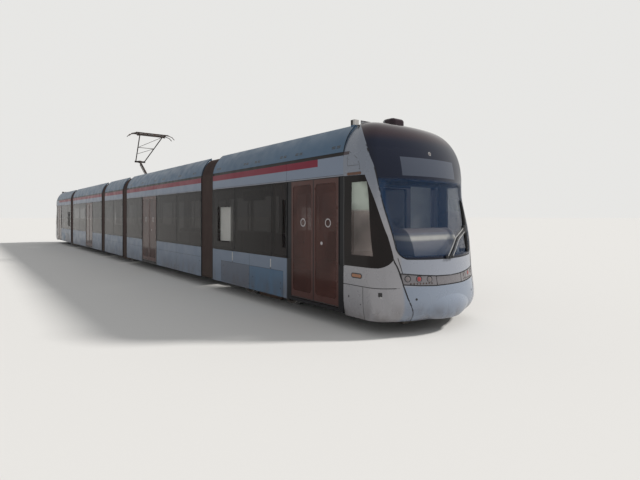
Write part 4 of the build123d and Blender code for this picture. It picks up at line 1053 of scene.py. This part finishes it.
# Inside the cab sections: the boards and the blank side sign behind the glass, and the cab's own
PANELS = [
    ("board", BOARD_WHITE, (10.23, -1.252, 1.3), (10.905, -1.238, 2.145), 0.006),
    ("draught_screen", BOARD_WHITE, (13.17, -1.252, 1.31), (13.31, -1.24, 2.24), 0.005),
    ("side_sign", TRIM_BLACK, (11.38, -1.24, 2.27), (12.28, -1.18, 2.5), 0.012),
    ("cab_wall_panes", PANE_PALE, (14.922, -1.16, 1.29), (14.934, -0.49, 2.51), 0.004),
    ("sun_blind", TRIM_BLACK, (15.3, -0.95, 2.47), (15.33, 0.95, 2.56), 0.012),
]
for name, finish, low, high, edge in PANELS:
    shape = rounded_bar(low, high, edge)
    dress(name, finish, both_sides(shape) if name == "cab_wall_panes" else shape)


def conduits(x0, x1, y=0.93, z=3.046):
    """Two pipes along a module on small saddles."""
    saddles = [rounded_bar((x - 0.03, y - 0.035, z - 0.035), (x + 0.03, y + 0.035, z + 0.012), 0.006)
               for x in np.linspace(x0 + 0.2, x1 - 0.2, 7)]
    return both_sides(tube(evenly([(x0, y, z), (x1, y, z)], 8), 0.02), *saddles)


PIPES = {
    "cab": (CAB_REAR + 0.15, 14.55),
    "mid": (MID[0] + 0.15, MID[1] - 0.15),
    "centre": (-1.35, 1.35),
}
for kind, (x0, x1) in PIPES.items():
    dress_kind(kind, "roof_pipes", PALE_METAL, conduits(x0, x1), smooth=True, slot_name="roof_grey")

# The stage: one flat floor, pale under the tram's shadow
FLOOR_REACH = 400.0
FLOOR_CORNERS = [(x * FLOOR_REACH, y * FLOOR_REACH, 0.0) for x, y in ((-1, -1), (1, -1), (1, 1), (-1, 1))]
floor_mesh = bpy.data.meshes.new("studio_floor")
floor_mesh.from_pydata(FLOOR_CORNERS, [], [(0, 1, 2, 3)])
stage_paint = Finish("studio_floor_paint", (0.7, 0.7, 0.7), 0.9, Specular_IOR_Level=0.0)
floor_mesh.materials.append(stage_paint.material)
placed("studio_floor", floor_mesh)

# What the camera and the glass see of the backdrop is brighter than the light it gives
LIGHT_LEVEL = 0.47
BACKDROP_LEVEL = 0.8
bpy.context.scene.world = world = bpy.data.worlds.new("studio")
world.use_nodes = True
sky = Nodes(world.node_tree)
ray = sky.add("ShaderNodeLightPath").outputs
seen = sky.math("MAXIMUM", ray["Is Camera Ray"], ray["Is Glossy Ray"])
level = sky.add("ShaderNodeMapRange", (seen, 0.0, 1.0, LIGHT_LEVEL, BACKDROP_LEVEL)).outputs[0]
backdrop = world.node_tree.nodes["Background"].inputs
sky.fill(backdrop["Strength"], level)
sky.fill(backdrop["Color"], (1.0, 0.995, 0.975))


def lamp(name, direction, strength, angle, colour):
    """A soft sun that shines from a direction and leaves no disc in the glass."""
    data = bpy.data.lights.new(name, "SUN")
    data.energy = strength
    data.angle = np.radians(angle)
    data.color = colour
    made = placed(name, data)
    made.visible_glossy = False
    x, y, z = direction
    made.rotation_euler = (float(np.arctan2(np.hypot(x, y), z)), 0.0, float(np.arctan2(x, -y)))


lamp("key_lamp", (0.42, 0.68, 0.62), 3.4, 7.0, (1.0, 0.965, 0.91))
lamp("fill_lamp", (0.55, -0.95, 0.6), 0.3, 40.0, (0.94, 0.97, 1.0))

# Solved from the photograph: the camera is level, and its frame is shifted down
PIXELS_WIDE = 640.0
FOCAL_PIXELS = 444.0
SHIFT_PIXELS = 24.4
SENSOR = 36.0
EYE = (20.65, -6.32, 1.932)
VIEW = (-0.7818, 0.6235)
camera_data = bpy.data.cameras.new("camera")
camera_data.sensor_width = SENSOR
camera_data.lens = FOCAL_PIXELS * SENSOR / PIXELS_WIDE
camera_data.shift_y = -SHIFT_PIXELS / PIXELS_WIDE
camera_data.clip_end = 1000.0
camera = placed("camera", camera_data)
camera.location = EYE
camera.rotation_euler = (np.pi / 2, 0.0, float(np.arctan2(-VIEW[0], VIEW[1])))
bpy.context.scene.camera = camera
bpy.context.scene.view_settings.view_transform = "Standard"
